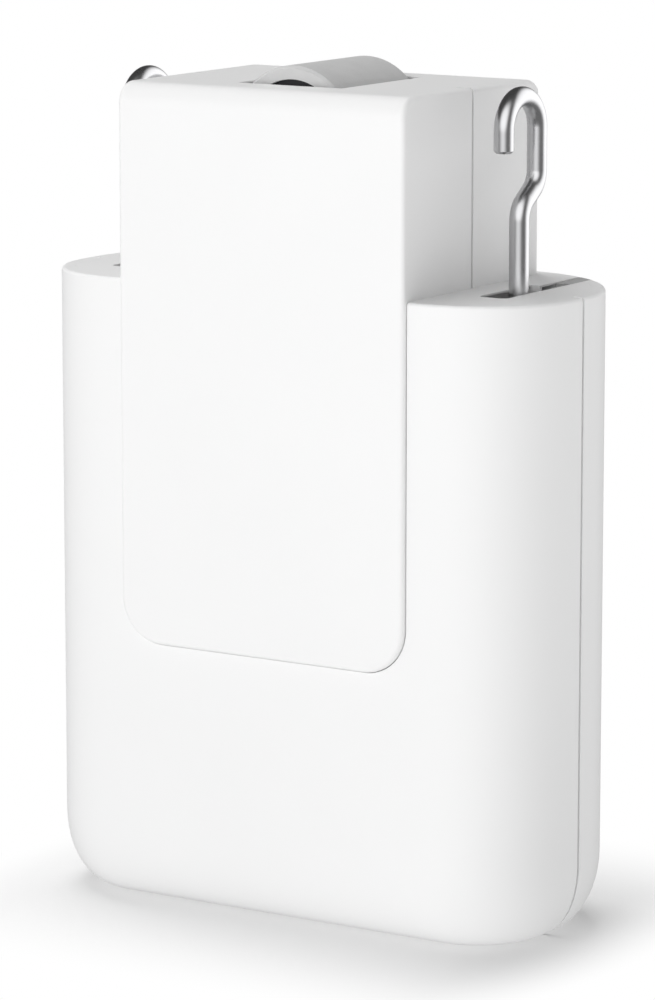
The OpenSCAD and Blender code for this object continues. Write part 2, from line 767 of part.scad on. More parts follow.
module bearing_frame() color(grey) difference() {
    union() {
        upright(front_plate_y, plate_t) frame_plate(deck_z);
        upright(back_plate_y, plate_t) frame_plate(cover_low);
        for (side = [-1, 1]) {
            translate([side * (frame_w - web_t) / 2 - web_t / 2, front_plate_y, deck_z])
                cube([web_t, back_plate_y + plate_t - front_plate_y, deck_t + web_h]);
            translate([side * (frame_w + frame_foot_w) / 2 - frame_foot_w / 2 - web_t / 2, front_plate_y, body_h])
                cube([frame_foot_w + web_t, back_plate_y + plate_t - front_plate_y, frame_foot_t]);
        }
        at_cover_posts() rod(0, back_plate_y, 0, cover_post_r, cover_y - back_plate_y);
    }
    for (y = [front_plate_y, back_plate_y])
        rod(0, y - past, roller_z, bush_r + tight_fit, plate_t + 2 * past);
    rod(0, back_plate_y - past, idler_z, pin_r + tight_fit, plate_t + 2 * past);
    rod(0, back_plate_y - past, drive_z, shaft_r + 1, plate_t + 2 * past);
    for (side = [-1, 1]) {
        rod(side * motor_screw_x, back_plate_y - past, drive_z, screw_r + loose_fit, plate_t + 2 * past);
        rod(side * motor_screw_x, back_plate_y + plate_t - screw_head_h, drive_z, screw_head_r + loose_fit, plate_t);
    }
    at_frame_screws() translate([0, 0, body_h - past]) cylinder(r = screw_r + loose_fit, h = frame_foot_t + 2 * past);
    at_cover_posts() rod(0, cover_y - small_screw_l, 0, small_screw_r, small_screw_l + past);
}

// Outline of a bearing plate: as wide as the webs, narrower below, round at the axle
module frame_plate(low) {
    head_r = frame_top - roller_z;
    translate([-plate_w / 2, low]) square([plate_w, body_h - low]);
    translate([-frame_w / 2, deck_z]) square([frame_w, deck_t + web_h]);
    translate([-head_r, body_h]) square([2 * head_r, roller_z - body_h]);
    translate([0, roller_z]) circle(head_r);
}

module gear_cover() color(grey) difference() {
    upright(cover_y, cover_t) {
        translate([-plate_w / 2, cover_low]) square([plate_w, body_h + web_h - cover_low]);
        translate([0, idler_z]) circle(gear_module * (idler_teeth / 2 + 1.5));
        translate([-bush_r, idler_z]) square([2 * bush_r, roller_z - idler_z]);
        translate([0, roller_z]) circle(bush_r);
    }
    rod(0, cover_y - past, idler_z, pin_r + tight_fit, cover_t + 2 * past);
    at_cover_posts() {
        rod(0, cover_y - past, 0, small_screw_r + loose_fit, cover_t + 2 * past);
        rod(0, cover_y + cover_t - small_head_h, 0, small_head_r + loose_fit, cover_t);
    }
}

// Pan-head screw along +Y with its head at the front, or turned to point at -Y
module screw(shank_r, length, head_r, head_h) {
    difference() {
        union() {
            rod(0, 0, 0, head_r, head_h);
            rod(0, 0, 0, shank_r, head_h + length);
        }
        rod(0, -past, 0, shank_r * 0.8, head_h * 0.6 + past);
    }
}

module cover_screws() color(steel) at_cover_posts() translate([0, cover_y + cover_t, 0])
    rotate([0, 0, 180]) screw(small_screw_r, small_screw_l, small_head_r, small_head_h);

module frame_screws() color(steel) at_frame_screws() translate([0, 0, body_h + frame_foot_t + screw_head_h])
    rotate([-90, 0, 0]) screw(screw_r, deck_t + frame_foot_t - 0.2, screw_head_r, screw_head_h);

module motor_screws() color(steel) for (side = [-1, 1])
    translate([side * motor_screw_x, back_plate_y + plate_t, drive_z]) rotate([0, 0, 180])
        screw(screw_r, motor_screw_l, screw_head_r, screw_head_h);

module gear_motor() color(steel) difference() {
    can_y = back_plate_y - gearbox_l - can_l;
    union() {
        rod(0, back_plate_y - gearbox_l, drive_z, gearbox_r, gearbox_l);
        rod(0, can_y, drive_z, can_r, can_l + past);
        rod(0, can_y - 1, drive_z, can_r / 3, 1 + past);
        for (side = [-1, 1]) translate([side * can_r / 2 - 1, can_y - motor_pins, drive_z - 0.3]) cube([2, 3, 0.6]);
    }
    rod(0, back_plate_y - shaft_depth, drive_z, shaft_r + running_fit, shaft_depth + past);
    for (side = [-1, 1])
        rod(side * motor_screw_x, back_plate_y - 5, drive_z, screw_r, 5 + past);
}

// Bend of the hook wire about a point, from an angle below it round the back
module wire_bend(y, z, r, from, turn) {
    translate([0, y, z]) rotate([0, 90, 0]) rotate([0, 0, from]) rotate_extrude(angle = turn)
        translate([r, 0]) circle(wire_r);
}

// Straight wire in the plane of the hook, from a point, tilted back from upright.
// It is let a little way into the bends at its ends, and is a hair thinner than they are.
module wire_run(y, z, tilt, length) {
    translate([0, y, z]) rotate([-tilt, 0, 0]) translate([0, 0, -weld_l])
        cylinder(r = wire_r - weld_step, h = length + 2 * weld_l);
}

module hook_wire() {
    leg_y = seam_y + jog;
    slant = (jog - 2 * jog_r * (1 - cos(jog_angle))) / sin(jog_angle);
    half_h = jog_r * sin(jog_angle) + slant * cos(jog_angle) / 2;
    low = jog_z - half_h;
    high = jog_z + half_h;
    tip = 0.4;
    nose_z = bowl_z - nose_l;
    wire_run(seam_y, stem_end + weld_l, 0, low - stem_end - weld_l);
    wire_bend(seam_y + jog_r, low, jog_r, -90 - jog_angle, jog_angle);
    wire_run(seam_y + jog_r * (1 - cos(jog_angle)), low + jog_r * sin(jog_angle), jog_angle, slant);
    wire_bend(leg_y - jog_r, high, jog_r, 90 - jog_angle, jog_angle);
    wire_run(leg_y, high, 0, bowl_z - high);
    wire_bend(bowl_y, bowl_z, bowl_r, 90, 180);
    nose_r = wire_r - weld_step;
    nose_top = nose_l + weld_l;
    translate([0, bowl_y - bowl_r, nose_z]) rotate_extrude()
        polygon([[0, 0], [nose_r - tip, 0], [nose_r, tip], [nose_r, nose_top], [0, nose_top]]);
}

module hook_left() color(steel) translate([-hook_x, 0, 0]) hook_wire();
module hook_right() color(steel) translate([hook_x, 0, 0]) hook_wire();

// Collar pressed on the foot of a stem, under its spring
module hook_collar() {
    translate([0, seam_y, stem_end]) difference() {
        cylinder(r = collar_r, h = collar_h);
        translate([0, 0, -past]) cylinder(r = wire_r + tight_fit, h = collar_h + 2 * past);
    }
}

module hook_collar_left() color(black) translate([-hook_x, 0, 0]) hook_collar();
module hook_collar_right() color(black) translate([hook_x, 0, 0]) hook_collar();

// Spring as one tube along a helix, with a closed turn at each end
spring_rings = 8;
spring_sides = 6;
spring_low = collar_top + spring_d / 2 + tight_fit;
spring_high = spring_top - spring_d / 2 - tight_fit;
spring_end_turn = 1;
spring_end_rise = spring_d + 0.5;
spring_steps = spring_rings * spring_turns;
spring_pitch = (spring_high - spring_low - 2 * spring_end_rise) / (spring_turns - 2 * spring_end_turn);
function spring_z(turn) = turn < spring_end_turn ? spring_low + turn * spring_end_rise
    : turn > spring_turns - spring_end_turn ? spring_high - (spring_turns - turn) * spring_end_rise
    : spring_low + spring_end_rise + (turn - spring_end_turn) * spring_pitch;
function spring_point(step, side) =
    let (turn = step / spring_rings, a = 360 * turn, b = 360 * side / spring_sides,
        r = spring_r + spring_d / 2 * cos(b))
    [r * cos(a), r * sin(a), spring_z(turn) + spring_d / 2 * sin(b)];
spring_gap = min([for (turn = [0 : 1 / spring_rings : spring_turns - 1])
    spring_z(turn + 1) - spring_z(turn)]) - spring_d;
echo(spring_gap = spring_gap);

module hook_spring() {
    ring = function (step, side) step * spring_sides + side % spring_sides;
    translate([0, seam_y, 0]) polyhedron(
        points = [for (step = [0 : spring_steps], side = [0 : spring_sides - 1]) spring_point(step, side)],
        faces = concat(
            [for (step = [0 : spring_steps - 1], side = [0 : spring_sides - 1], half = [0, 1])
                half == 0 ? [ring(step, side), ring(step, side + 1), ring(step + 1, side)]
                    : [ring(step, side + 1), ring(step + 1, side + 1), ring(step + 1, side)]],
            [for (side = [1 : spring_sides - 2]) [ring(0, 0), ring(0, side + 1), ring(0, side)]],
            [for (side = [1 : spring_sides - 2])
                [ring(spring_steps, 0), ring(spring_steps, side), ring(spring_steps, side + 1)]]));
}

module hook_spring_left() color(steel) translate([-hook_x, 0, 0]) hook_spring();
module hook_spring_right() color(steel) translate([hook_x, 0, 0]) hook_spring();

// Guide under the deck, with a nose for the spring
module hook_guide() {
    difference() {
        union() {
            translate([-guide_side, seam_y - guide_ahead, guide_z])
                cube([2 * guide_side, guide_ahead + guide_behind, guide_t]);
            translate([0, seam_y, spring_top]) cylinder(r = collar_r, h = guide_nose + past);
        }
        translate([0, seam_y, spring_top - past]) cylinder(r = wire_r + running_fit, h = guide_nose + deck_t + 2 * guide_t);
    }
}

module hook_guide_left() color(grey) translate([-hook_x, 0, 0]) hook_guide();
module hook_guide_right() color(grey) translate([hook_x, 0, 0]) hook_guide();

module inner_frame() color(grey) difference() {
    union() {
        upright(spine_y, spine_t) {
            translate([-spine_w / 2, spine_low]) square([spine_w, spine_top - spine_low]);
            for (row = [0, 1], side = [-1, 1]) spine_ear(side * case_screw_x[row], case_screw_z[row], row);
        }
        // Saddles that hold the cells
        for (side = [-1, 1]) translate([side * saddle_x - saddle_t / 2, spine_y, spine_low])
            cube([saddle_t, cell_y - spine_y, cell_d * 2 + cell_gap + 3]);
        // Shelves under the hooks, and posts for the board
        for (side = [-1, 1]) translate([side * (hook_x + shelf_reach + spine_w / 2 - 2) / 2, 0, 0])
            translate([-(hook_x + shelf_reach - spine_w / 2 + 2) / 2, spine_y, stem_end - moving_gap - shelf_t])
                cube([hook_x + shelf_reach - spine_w / 2 + 2, seam_y + collar_r - spine_y, shelf_t]);
        at_board_screws() rod(0, board_back_y, 0, board_post_r, spine_y - board_back_y);
    }
    for (z = cell_centres) translate([-cell_l, cell_y, z]) rotate([0, 90, 0])
        cylinder(r = cell_d / 2 + loose_fit, h = 2 * cell_l);
    at_case_screws() rod(0, spine_y - past, 0, boss_tip_r + loose_fit, spine_t + 2 * past);
    at_board_screws() rod(0, board_back_y - past, 0, screw_r * 0.8, spine_y + spine_t - board_back_y + 2 * past);
}

// Ear of the spine round a boss: round about the screw, straight to the spine
module spine_ear(x, z, row) {
    ear_r = boss_r + 1;
    reach = row == 0 ? spine_low + 1 - z : z - spine_top + 1;
    translate([x, z]) circle(ear_r);
    translate([x - ear_r, row == 0 ? z : z - reach]) square([2 * ear_r, reach]);
}

module at_board_screws() {
    for (side = [-1, 1], z = board_screw_z) translate([side * board_screw_x, 0, z]) children();
}

module battery_cells() color("royalblue") for (z = cell_centres)
    translate([-cell_l / 2, cell_y, z]) rotate([0, 90, 0]) {
        cylinder(r = cell_d / 2, h = cell_l);
        translate([0, 0, cell_l]) cylinder(r = cell_d / 6, h = 0.8);
    }

module main_board() color("darkgreen") difference() {
    translate([-board_w / 2, board_y, board_z]) cube([board_w, board_t, board_h]);
    at_board_screws() rod(0, board_y - past, 0, screw_r + loose_fit, board_t + 2 * past);
}

module radio_shield() color(steel)
    translate([-shield_w / 2, board_y - shield_t, board_z + board_h - shield_drop]) cube([shield_w, shield_t, shield_h]);

// Chips, a capacitor and two connectors on the board's front
module board_parts() color(black) {
    translate([-chip_x - chip_w / 2, board_y - chip_t, board_z + chip_z]) cube([chip_w, chip_t, chip_w]);
    translate([driver_x - driver_w / 2, board_y - chip_t, board_z + driver_z]) cube([driver_w, chip_t, driver_h]);
    translate([0, board_y, board_z + can_cap_z]) rotate([90, 0, 0]) cylinder(r = can_cap_r, h = can_cap_l);
    for (side = [-1, 1]) translate([side * plug_x - plug_w / 2, board_y - plug_t, board_z + board_h - plug_drop])
        cube([plug_w, plug_t, plug_h]);
}

module board_screws() color(steel) at_board_screws() translate([0, board_y - screw_head_h, 0])
    screw(screw_r * 0.8, board_t + board_screw_grip, screw_head_r, screw_head_h);

module usb_socket() color(steel) translate([0, socket_y, socket_z]) {
    shell_t = 0.35;
    difference() {
        linear_extrude(socket_l) socket_outline(0);
        translate([0, 0, -past]) linear_extrude(socket_l - 1 + past) socket_outline(-shell_t);
    }
    translate([-3.3, -0.35, 0.8]) cube([6.6, 0.7, socket_l - 1]);
}

module reset_switch() color(black) translate([-button_x, board_back_y, switch_z]) {
    translate([-3, 0, 0.8]) cube([6, socket_t, 3.5]);
    translate([0, socket_t / 2, 0]) cylinder(r = 0.9, h = past);
}

module reset_button() color(grey) translate([-button_x, socket_y, 0]) {
    translate([0, 0, button_z]) cylinder(r = button_r, h = button_flange_z - button_z + past / 2);
    translate([0, 0, button_flange_z]) cylinder(r = button_flange_r, h = button_flange_t);
    translate([0, 0, button_flange_z]) cylinder(r = button_stem_r, h = button_top - button_flange_z);
}

module status_led() color("gold") translate([button_x - led_w / 2, board_back_y, led_z + loose_fit])
    cube([led_w, led_t, led_h]);

module light_pipe() color([0.9, 0.95, 1.0]) translate([button_x, socket_y, 0]) {
    translate([0, 0, button_z]) cylinder(r = light_r, h = led_z - button_z);
    translate([0, 0, wall]) cylinder(r = light_r + pipe_flange, h = pipe_flange);
}

module case_screws() color(steel) at_case_screws() translate([0, case_screw_y + screw_head_h, 0])
    rotate([0, 0, 180]) screw(screw_r, case_screw_l - 1, screw_head_r, screw_head_h);

front_shell();
back_cover();
shoulder_deck();
front_panel();
tower_back();
tower_cap();
roller_tyre();
roller_hub();
roller_axle();
roller_gear();
axle_clips();
roller_bushes();
bearing_frame();
gear_cover();
cover_screws();
frame_screws();
gear_motor();
motor_screws();
drive_gear();
idler_gear();
idler_pin();
hook_left();
hook_right();
hook_collar_left();
hook_collar_right();
hook_spring_left();
hook_spring_right();
hook_guide_left();
hook_guide_right();
inner_frame();
battery_cells();
main_board();
radio_shield();
board_parts();
board_screws();
usb_socket();
reset_switch();
reset_button();
status_led();
light_pipe();
case_screws();
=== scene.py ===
"""Dressed model of a hang-on curtain robot.

A rounded white body carries a tower with a driven roller, and a sprung wire hook stands on each
side of it. Sizes in the classes are millimetres in the part's own frame: X across, Y towards the
back and Z up from the flat base. The finished pieces are in metres.
"""
import logging
import math
from dataclasses import dataclass
from enum import Enum
from typing import Callable, Sequence

import bmesh
import bpy
from mathutils import Matrix, Vector


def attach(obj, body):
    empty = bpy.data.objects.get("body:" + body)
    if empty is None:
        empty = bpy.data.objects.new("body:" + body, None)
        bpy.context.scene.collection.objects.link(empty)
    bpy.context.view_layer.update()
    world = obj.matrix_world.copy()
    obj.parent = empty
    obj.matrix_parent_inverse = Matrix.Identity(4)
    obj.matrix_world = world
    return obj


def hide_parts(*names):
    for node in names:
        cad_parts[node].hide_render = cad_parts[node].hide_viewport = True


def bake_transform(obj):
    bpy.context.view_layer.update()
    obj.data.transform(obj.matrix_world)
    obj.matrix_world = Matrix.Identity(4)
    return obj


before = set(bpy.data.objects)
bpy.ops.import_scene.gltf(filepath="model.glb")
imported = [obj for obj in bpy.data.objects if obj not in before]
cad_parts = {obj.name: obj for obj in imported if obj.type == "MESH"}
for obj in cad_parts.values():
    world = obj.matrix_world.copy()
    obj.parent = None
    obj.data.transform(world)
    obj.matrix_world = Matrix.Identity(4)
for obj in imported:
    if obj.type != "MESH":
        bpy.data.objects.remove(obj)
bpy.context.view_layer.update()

# Metres in a millimetre.
METRES = 0.001
# Lengths that differ by less are taken as equal.
TINY = 1e-3
# Vertices closer than this are merged.
MERGE = 1e-4
# How far a cutting form runs past the face that it cuts.
OVER = 1.0
# Edges that bend more than this stay sharp.
SHARP = math.radians(32)
VECTOR_MATHS = "ShaderNodeVectorMath"
LOG = logging.getLogger("curtain_robot")
Point = tuple[float, float, float]
EdgeTest = Callable[[Vector, Vector], bool]


class Body(Enum):
    """Moving bodies that a piece can ride on."""

    HOUSING = "housing"
    ROLLER = "roller"
    LEFT_HOOK = "left_hook"
    RIGHT_HOOK = "right_hook"


class Side(Enum):
    """The two sides of the robot, as signs along X."""

    LEFT = -1
    RIGHT = 1


class Half(Enum):
    """The two halves on each side of the parting line, as signs along Y."""

    FRONT = -1
    BACK = 1


class Change(Enum):
    """What a second form does to the first."""

    CUT = "DIFFERENCE"
    JOIN = "UNION"
    SHARE = "INTERSECT"


def maths(tree: bpy.types.NodeTree, operation: str, kind: str = "ShaderNodeMath") -> bpy.types.Node:
    """Adds a node that does one sum.

    Args:
        tree: Tree that gets the node.
        operation: Name of the sum.
        kind: Type of the node, for numbers or for vectors.

    Returns:
        The node.
    """
    made = tree.nodes.new(kind)
    made.operation = operation
    return made


def grain_group() -> bpy.types.NodeTree:
    """Makes the node group for mottling and fine grain that every finish uses.

    Returns:
        The group, with a colour, a roughness and a height that vary over the surface.
    """
    tree = bpy.data.node_groups.new("surface_grain", "ShaderNodeTree")
    face = tree.interface
    for name, kind in (("Vector", "Vector"), ("Colour", "Color"), ("Shade", "Float"), ("Mottle", "Float"),
                       ("Grain", "Float"), ("Roughness", "Float"), ("Spread", "Float")):
        face.new_socket(name=name, in_out="INPUT", socket_type="NodeSocket" + kind)
    for name, kind in (("Colour", "Color"), ("Roughness", "Float"), ("Height", "Float")):
        face.new_socket(name=name, in_out="OUTPUT", socket_type="NodeSocket" + kind)
    given = tree.nodes.new("NodeGroupInput")
    result = tree.nodes.new("NodeGroupOutput")
    join = tree.links.new

    mottle = tree.nodes.new("ShaderNodeTexNoise")
    mottle.inputs["Detail"].default_value = 3.0
    join(given.outputs["Vector"], mottle.inputs["Vector"])
    join(given.outputs["Mottle"], mottle.inputs["Scale"])
    grain = tree.nodes.new("ShaderNodeTexNoise")
    grain.inputs["Detail"].default_value = 2.0
    join(given.outputs["Vector"], grain.inputs["Vector"])
    join(given.outputs["Grain"], grain.inputs["Scale"])

    darkest = maths(tree, "SUBTRACT")
    darkest.inputs[0].default_value = 1.0
    join(given.outputs["Shade"], darkest.inputs[1])
    shade = tree.nodes.new("ShaderNodeMapRange")
    shade.inputs["From Min"].default_value = 0.3
    shade.inputs["From Max"].default_value = 0.7
    join(mottle.outputs["Fac"], shade.inputs["Value"])
    join(darkest.outputs["Value"], shade.inputs["To Min"])
    tinted = maths(tree, "SCALE", VECTOR_MATHS)
    join(given.outputs["Colour"], tinted.inputs[0])
    join(shade.outputs["Result"], tinted.inputs["Scale"])
    join(tinted.outputs["Vector"], result.inputs["Colour"])

    offset = maths(tree, "SUBTRACT")
    offset.inputs[1].default_value = 0.5
    join(grain.outputs["Fac"], offset.inputs[0])
    rough = maths(tree, "MULTIPLY_ADD")
    join(offset.outputs["Value"], rough.inputs[0])
    join(given.outputs["Spread"], rough.inputs[1])
    join(given.outputs["Roughness"], rough.inputs[2])
    join(rough.outputs["Value"], result.inputs["Roughness"])
    join(grain.outputs["Fac"], result.inputs["Height"])
    return tree


GRAIN = grain_group()


@dataclass(frozen=True)
class Finish:
    """How one kind of surface looks.

    Attributes:
        slot: Material slot of the record that the finish stands for.
        colour: Base colour.
        roughness: Middle roughness.
        metallic: 1 for a metal.
        shade: Depth of the mottling, as a share of the colour.
        mottle: Mottles in a metre.
        grain: Grains in a metre.
        spread: Range of the roughness over the grain.
        relief: Strength of the grain's bump.
        stretch: Scale of the pattern along X, Y and Z.
        specular: Level of the plain reflection.
        clear: Share of light that passes through.
        ending: End of the material's name, which tells two finishes of one slot apart.
    """

    slot: str
    colour: Point
    roughness: float
    metallic: float = 0.0
    shade: float = 0.02
    mottle: float = 40.0
    grain: float = 2600.0
    spread: float = 0.08
    relief: float = 0.05
    stretch: Point = (1.0, 1.0, 1.0)
    specular: float = 0.5
    clear: float = 0.0
    ending: str = "_finish"

    def material(self) -> bpy.types.Material:
        """Returns the finish's material, made on the first call."""
        made = bpy.data.materials.get(self.slot + self.ending)
        if made is not None:
            return made
        made = bpy.data.materials.new(self.slot + self.ending)
        made.use_nodes = True
        tree = made.node_tree
        shader = tree.nodes["Principled BSDF"]
        shader.inputs["Metallic"].default_value = self.metallic
        shader.inputs["Specular IOR Level"].default_value = self.specular
        shader.inputs["Transmission Weight"].default_value = self.clear
        place = tree.nodes.new("ShaderNodeTexCoord")
        turn = tree.nodes.new("ShaderNodeMapping")
        turn.inputs["Scale"].default_value = self.stretch
        grain = tree.nodes.new("ShaderNodeGroup")
        grain.node_tree = GRAIN
        grain.inputs["Colour"].default_value = (*self.colour, 1.0)
        grain.inputs["Shade"].default_value = self.shade
        grain.inputs["Mottle"].default_value = self.mottle
        grain.inputs["Grain"].default_value = self.grain
        grain.inputs["Roughness"].default_value = self.roughness
        grain.inputs["Spread"].default_value = self.spread
        bump = tree.nodes.new("ShaderNodeBump")
        bump.inputs["Strength"].default_value = self.relief
        bump.inputs["Distance"].default_value = 0.0002
        join = tree.links.new
        join(place.outputs["Object"], turn.inputs["Vector"])
        join(turn.outputs["Vector"], grain.inputs["Vector"])
        join(grain.outputs["Colour"], shader.inputs["Base Color"])
        join(grain.outputs["Roughness"], shader.inputs["Roughness"])
        join(grain.outputs["Height"], bump.inputs["Height"])
        join(bump.outputs["Normal"], shader.inputs["Normal"])
        return made


MOULDED_WHITE = Finish("shell_white", (0.85, 0.85, 0.85), 0.46, shade=0.012, grain=3200.0, relief=0.04)
TYRE_RUBBER = Finish("tyre_grey", (0.58, 0.58, 0.58), 0.78, shade=0.05, mottle=300.0, grain=2400.0,
                     relief=0.3)
CORE_BLACK = Finish("core_black", (0.018, 0.018, 0.02), 0.6, shade=0.2)
HOOK_STEEL = Finish("hook_steel", (0.62, 0.62, 0.63), 0.29, metallic=1.0, shade=0.06, mottle=220.0,
                    grain=900.0, spread=0.1, relief=0.03, stretch=(1.0, 1.0, 0.2))
# Painted shade: the tabs are white plastic like the cover, and this grey stands for the shade in the recess
# at each slot's end.
TAB_GREY_PAINTED_SHADE = Finish("guide_grey", (0.42, 0.42, 0.42), 0.55, shade=0.04, ending="_tab_painted_shade")
# Partly painted shade: the guides' grey is darkened to near black so that the holes in the deck's slots look
# deep. The reset button shares this finish.
GUIDE_GREY_DARKENED_AS_SHADE = Finish("guide_grey", (0.12, 0.12, 0.12), 0.55, shade=0.06)
FRAME_GREY = Finish("frame_grey", (0.24, 0.25, 0.26), 0.6, shade=0.08)
GEAR_NATURAL = Finish("gear_natural", (0.82, 0.79, 0.71), 0.42, shade=0.04)
BRIGHT_STEEL = Finish("bright_steel", (0.58, 0.58, 0.59), 0.28, metallic=1.0, shade=0.08, mottle=400.0,
                      grain=1600.0, spread=0.16, stretch=(1.0, 0.12, 1.0))
BUSH_BRASS = Finish("bush_brass", (0.66, 0.46, 0.17), 0.3, metallic=1.0, shade=0.1, mottle=300.0)
CELL_WRAP = Finish("cell_wrap", (0.05, 0.16, 0.36), 0.24, shade=0.05, relief=0.02)
BOARD_GREEN = Finish("board_green", (0.02, 0.15, 0.06), 0.4, shade=0.18, mottle=260.0)
CHIP_BLACK = Finish("chip_black", (0.02, 0.02, 0.022), 0.5, shade=0.15)
LAMP_CLEAR = Finish("lamp_clear", (0.9, 0.92, 0.95), 0.12, clear=0.9, shade=0.01, relief=0.01)

KEPT_NODES: dict[Finish, tuple[str, ...]] = {
    CORE_BLACK: ("roller_hub", "hook_collar_left", "hook_collar_right"),
    # The guides' dark finish is partly painted shade for the holes in the slots.
    GUIDE_GREY_DARKENED_AS_SHADE: ("hook_guide_left", "hook_guide_right", "reset_button"),
    FRAME_GREY: ("bearing_frame", "gear_cover", "inner_frame"),
    GEAR_NATURAL: ("roller_gear", "idler_gear", "drive_gear"),
    BRIGHT_STEEL: ("roller_axle", "axle_clips", "cover_screws", "frame_screws", "gear_motor", "motor_screws",
                   "idler_pin", "radio_shield", "board_screws", "usb_socket", "case_screws"),
    BUSH_BRASS: ("roller_bushes",),
    CELL_WRAP: ("battery_cells",),
    BOARD_GREEN: ("main_board",),
    CHIP_BLACK: ("board_parts", "reset_switch"),
    LAMP_CLEAR: ("status_led", "light_pipe"),
}


class Form:
    """A closed form in the making, in millimetres."""

    def __init__(self) -> None:
        """Starts with an empty mesh."""
        self.mesh = bmesh.new()

    def block(self, low: Point, high: Point) -> "Form":
        """Adds a block between two corners.

        Args:
            low: Lowest corner.
            high: Highest corner.

        Returns:
            This form.
        """
        made = bmesh.ops.create_cube(self.mesh, size=1.0)["verts"]
        size = Vector(high) - Vector(low)
        bmesh.ops.scale(self.mesh, vec=size, verts=made)
        bmesh.ops.translate(self.mesh, vec=(Vector(high) + Vector(low)) / 2, verts=made)
        return self

    def rod(self, start: Point, axis: Point, r: float, length: float, sides: int = 40) -> "Form":
        """Adds a round rod.

        Args:
            start: Centre of its first end.
            axis: Direction that it runs in.
            r: Radius.
            length: Length.
            sides: Faces round it.

        Returns:
            This form.
        """
        made = bmesh.ops.create_cone(self.mesh, cap_ends=True, segments=sides, radius1=r, radius2=r,
                                     depth=length)["verts"]
        turn = Vector((0.0, 0.0, 1.0)).rotation_difference(Vector(axis)).to_matrix()
        bmesh.ops.rotate(self.mesh, cent=(0.0, 0.0, 0.0), matrix=turn, verts=made)
        bmesh.ops.translate(self.mesh, vec=Vector(start) + Vector(axis) * length / 2, verts=made)
        return self

    def edges(self, test: EdgeTest) -> list[bmesh.types.BMEdge]:
        """Returns the edges whose two ends pass a test."""
        return [edge for edge in self.mesh.edges if test(edge.verts[0].co, edge.verts[1].co)]

    def round_edges(self, test: EdgeTest, r: float, segments: int) -> "Form":
        """Rounds the edges whose two ends pass a test.

        Args:
            test: Test of an edge's two ends.
            r: Radius.
            segments: Faces across the rounding.

        Returns:
            This form.
        """
        bmesh.ops.bevel(self.mesh, geom=self.edges(test), offset=r, offset_type="OFFSET", affect="EDGES",
                        segments=segments, profile=0.5, material=-1, clamp_overlap=False, loop_slide=True)
        return self

    def keep(self, point: Point, outwards: Point) -> "Form":
        """Cuts off what lies beyond a plane and closes the cut.

        Args:
            point: Point of the plane.
            outwards: Direction of the side that goes.

        Returns:
            This form.
        """
        mesh = self.mesh
        bmesh.ops.bisect_plane(mesh, geom=mesh.verts[:] + mesh.edges[:] + mesh.faces[:], dist=MERGE,
                               plane_co=point, plane_no=outwards, clear_outer=True)
        bmesh.ops.holes_fill(mesh, edges=[edge for edge in mesh.edges if edge.is_boundary], sides=0)
        return self

    def combine(self, other: "Form", how: Change) -> "Form":
        """Joins another closed form to this one, cuts it out, or keeps what they share.

        Args:
            other: The second form, which is used up.
            how: What it does.

        Returns:
            This form.
        """
        kept = self.trial_object("kept_form")
        tool = other.trial_object("tool_form")
        change = kept.modifiers.new("change", "BOOLEAN")
        change.operation = how.value
        change.solver = "EXACT"
        change.object = tool
        ready = kept.evaluated_get(bpy.context.evaluated_depsgraph_get())
        self.mesh.clear()
        self.mesh.from_mesh(ready.to_mesh())
        ready.to_mesh_clear()
        for spent in (kept, tool):
            data = spent.data
            bpy.data.objects.remove(spent)
            bpy.data.meshes.remove(data)
        other.mesh.free()
        bmesh.ops.remove_doubles(self.mesh, verts=self.mesh.verts[:], dist=MERGE)
        return self

    def trial_object(self, name: str) -> bpy.types.Object:
        """Returns a passing object with this form's mesh, for a boolean."""
        bmesh.ops.recalc_face_normals(self.mesh, faces=self.mesh.faces[:])
        data = bpy.data.meshes.new(name)
        self.mesh.to_mesh(data)
        made = bpy.data.objects.new(name, data)
        bpy.context.scene.collection.objects.link(made)
        return made

    def piece(self, name: str, finish: Finish, body: Body, stands_for: Sequence[str]) -> bpy.types.Object:
        """Makes the finished piece and sets it on its body.

        Args:
            name: Name of the piece.
            finish: Its finish.
            body: Body that it rides on.
            stands_for: CAD nodes that it replaces.

        Returns:
            The piece.
        """
        made = self.dressed(name, finish, stands_for)
        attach(made, body.value)
        LOG.info("%s: rides on %s", name, body.value)
        return made

    def dressed(self, name: str, finish: Finish, stands_for: Sequence[str]) -> bpy.types.Object:
        """Makes the finished piece and dresses it.

        Args:
            name: Name of the piece.
            finish: Its finish.
            stands_for: CAD nodes that it replaces.

        Returns:
            The piece, on no body yet.
        """
        mesh = self.mesh
        bmesh.ops.remove_doubles(mesh, verts=mesh.verts[:], dist=MERGE)
        bmesh.ops.recalc_face_normals(mesh, faces=mesh.faces[:])
        for face in mesh.faces:
            face.smooth = True
        for edge in mesh.edges:
            edge.smooth = len(edge.link_faces) == 2 and edge.calc_face_angle() < SHARP
        bmesh.ops.scale(mesh, vec=(METRES, METRES, METRES), verts=mesh.verts[:])
        data = bpy.data.meshes.new(name)
        mesh.to_mesh(data)
        mesh.free()
        made = bpy.data.objects.new(name, data)
        bpy.context.scene.collection.objects.link(made)
        made.data.materials.append(finish.material())
        even = made.modifiers.new("even_shading", "WEIGHTED_NORMAL")
        even.keep_sharp = True
        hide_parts(*stands_for)
        LOG.info("%s: %d faces", name, len(data.polygons))
        return made


def same(a: float, b: float) -> bool:
    """Tells whether two lengths agree."""
    return abs(a - b) < TINY


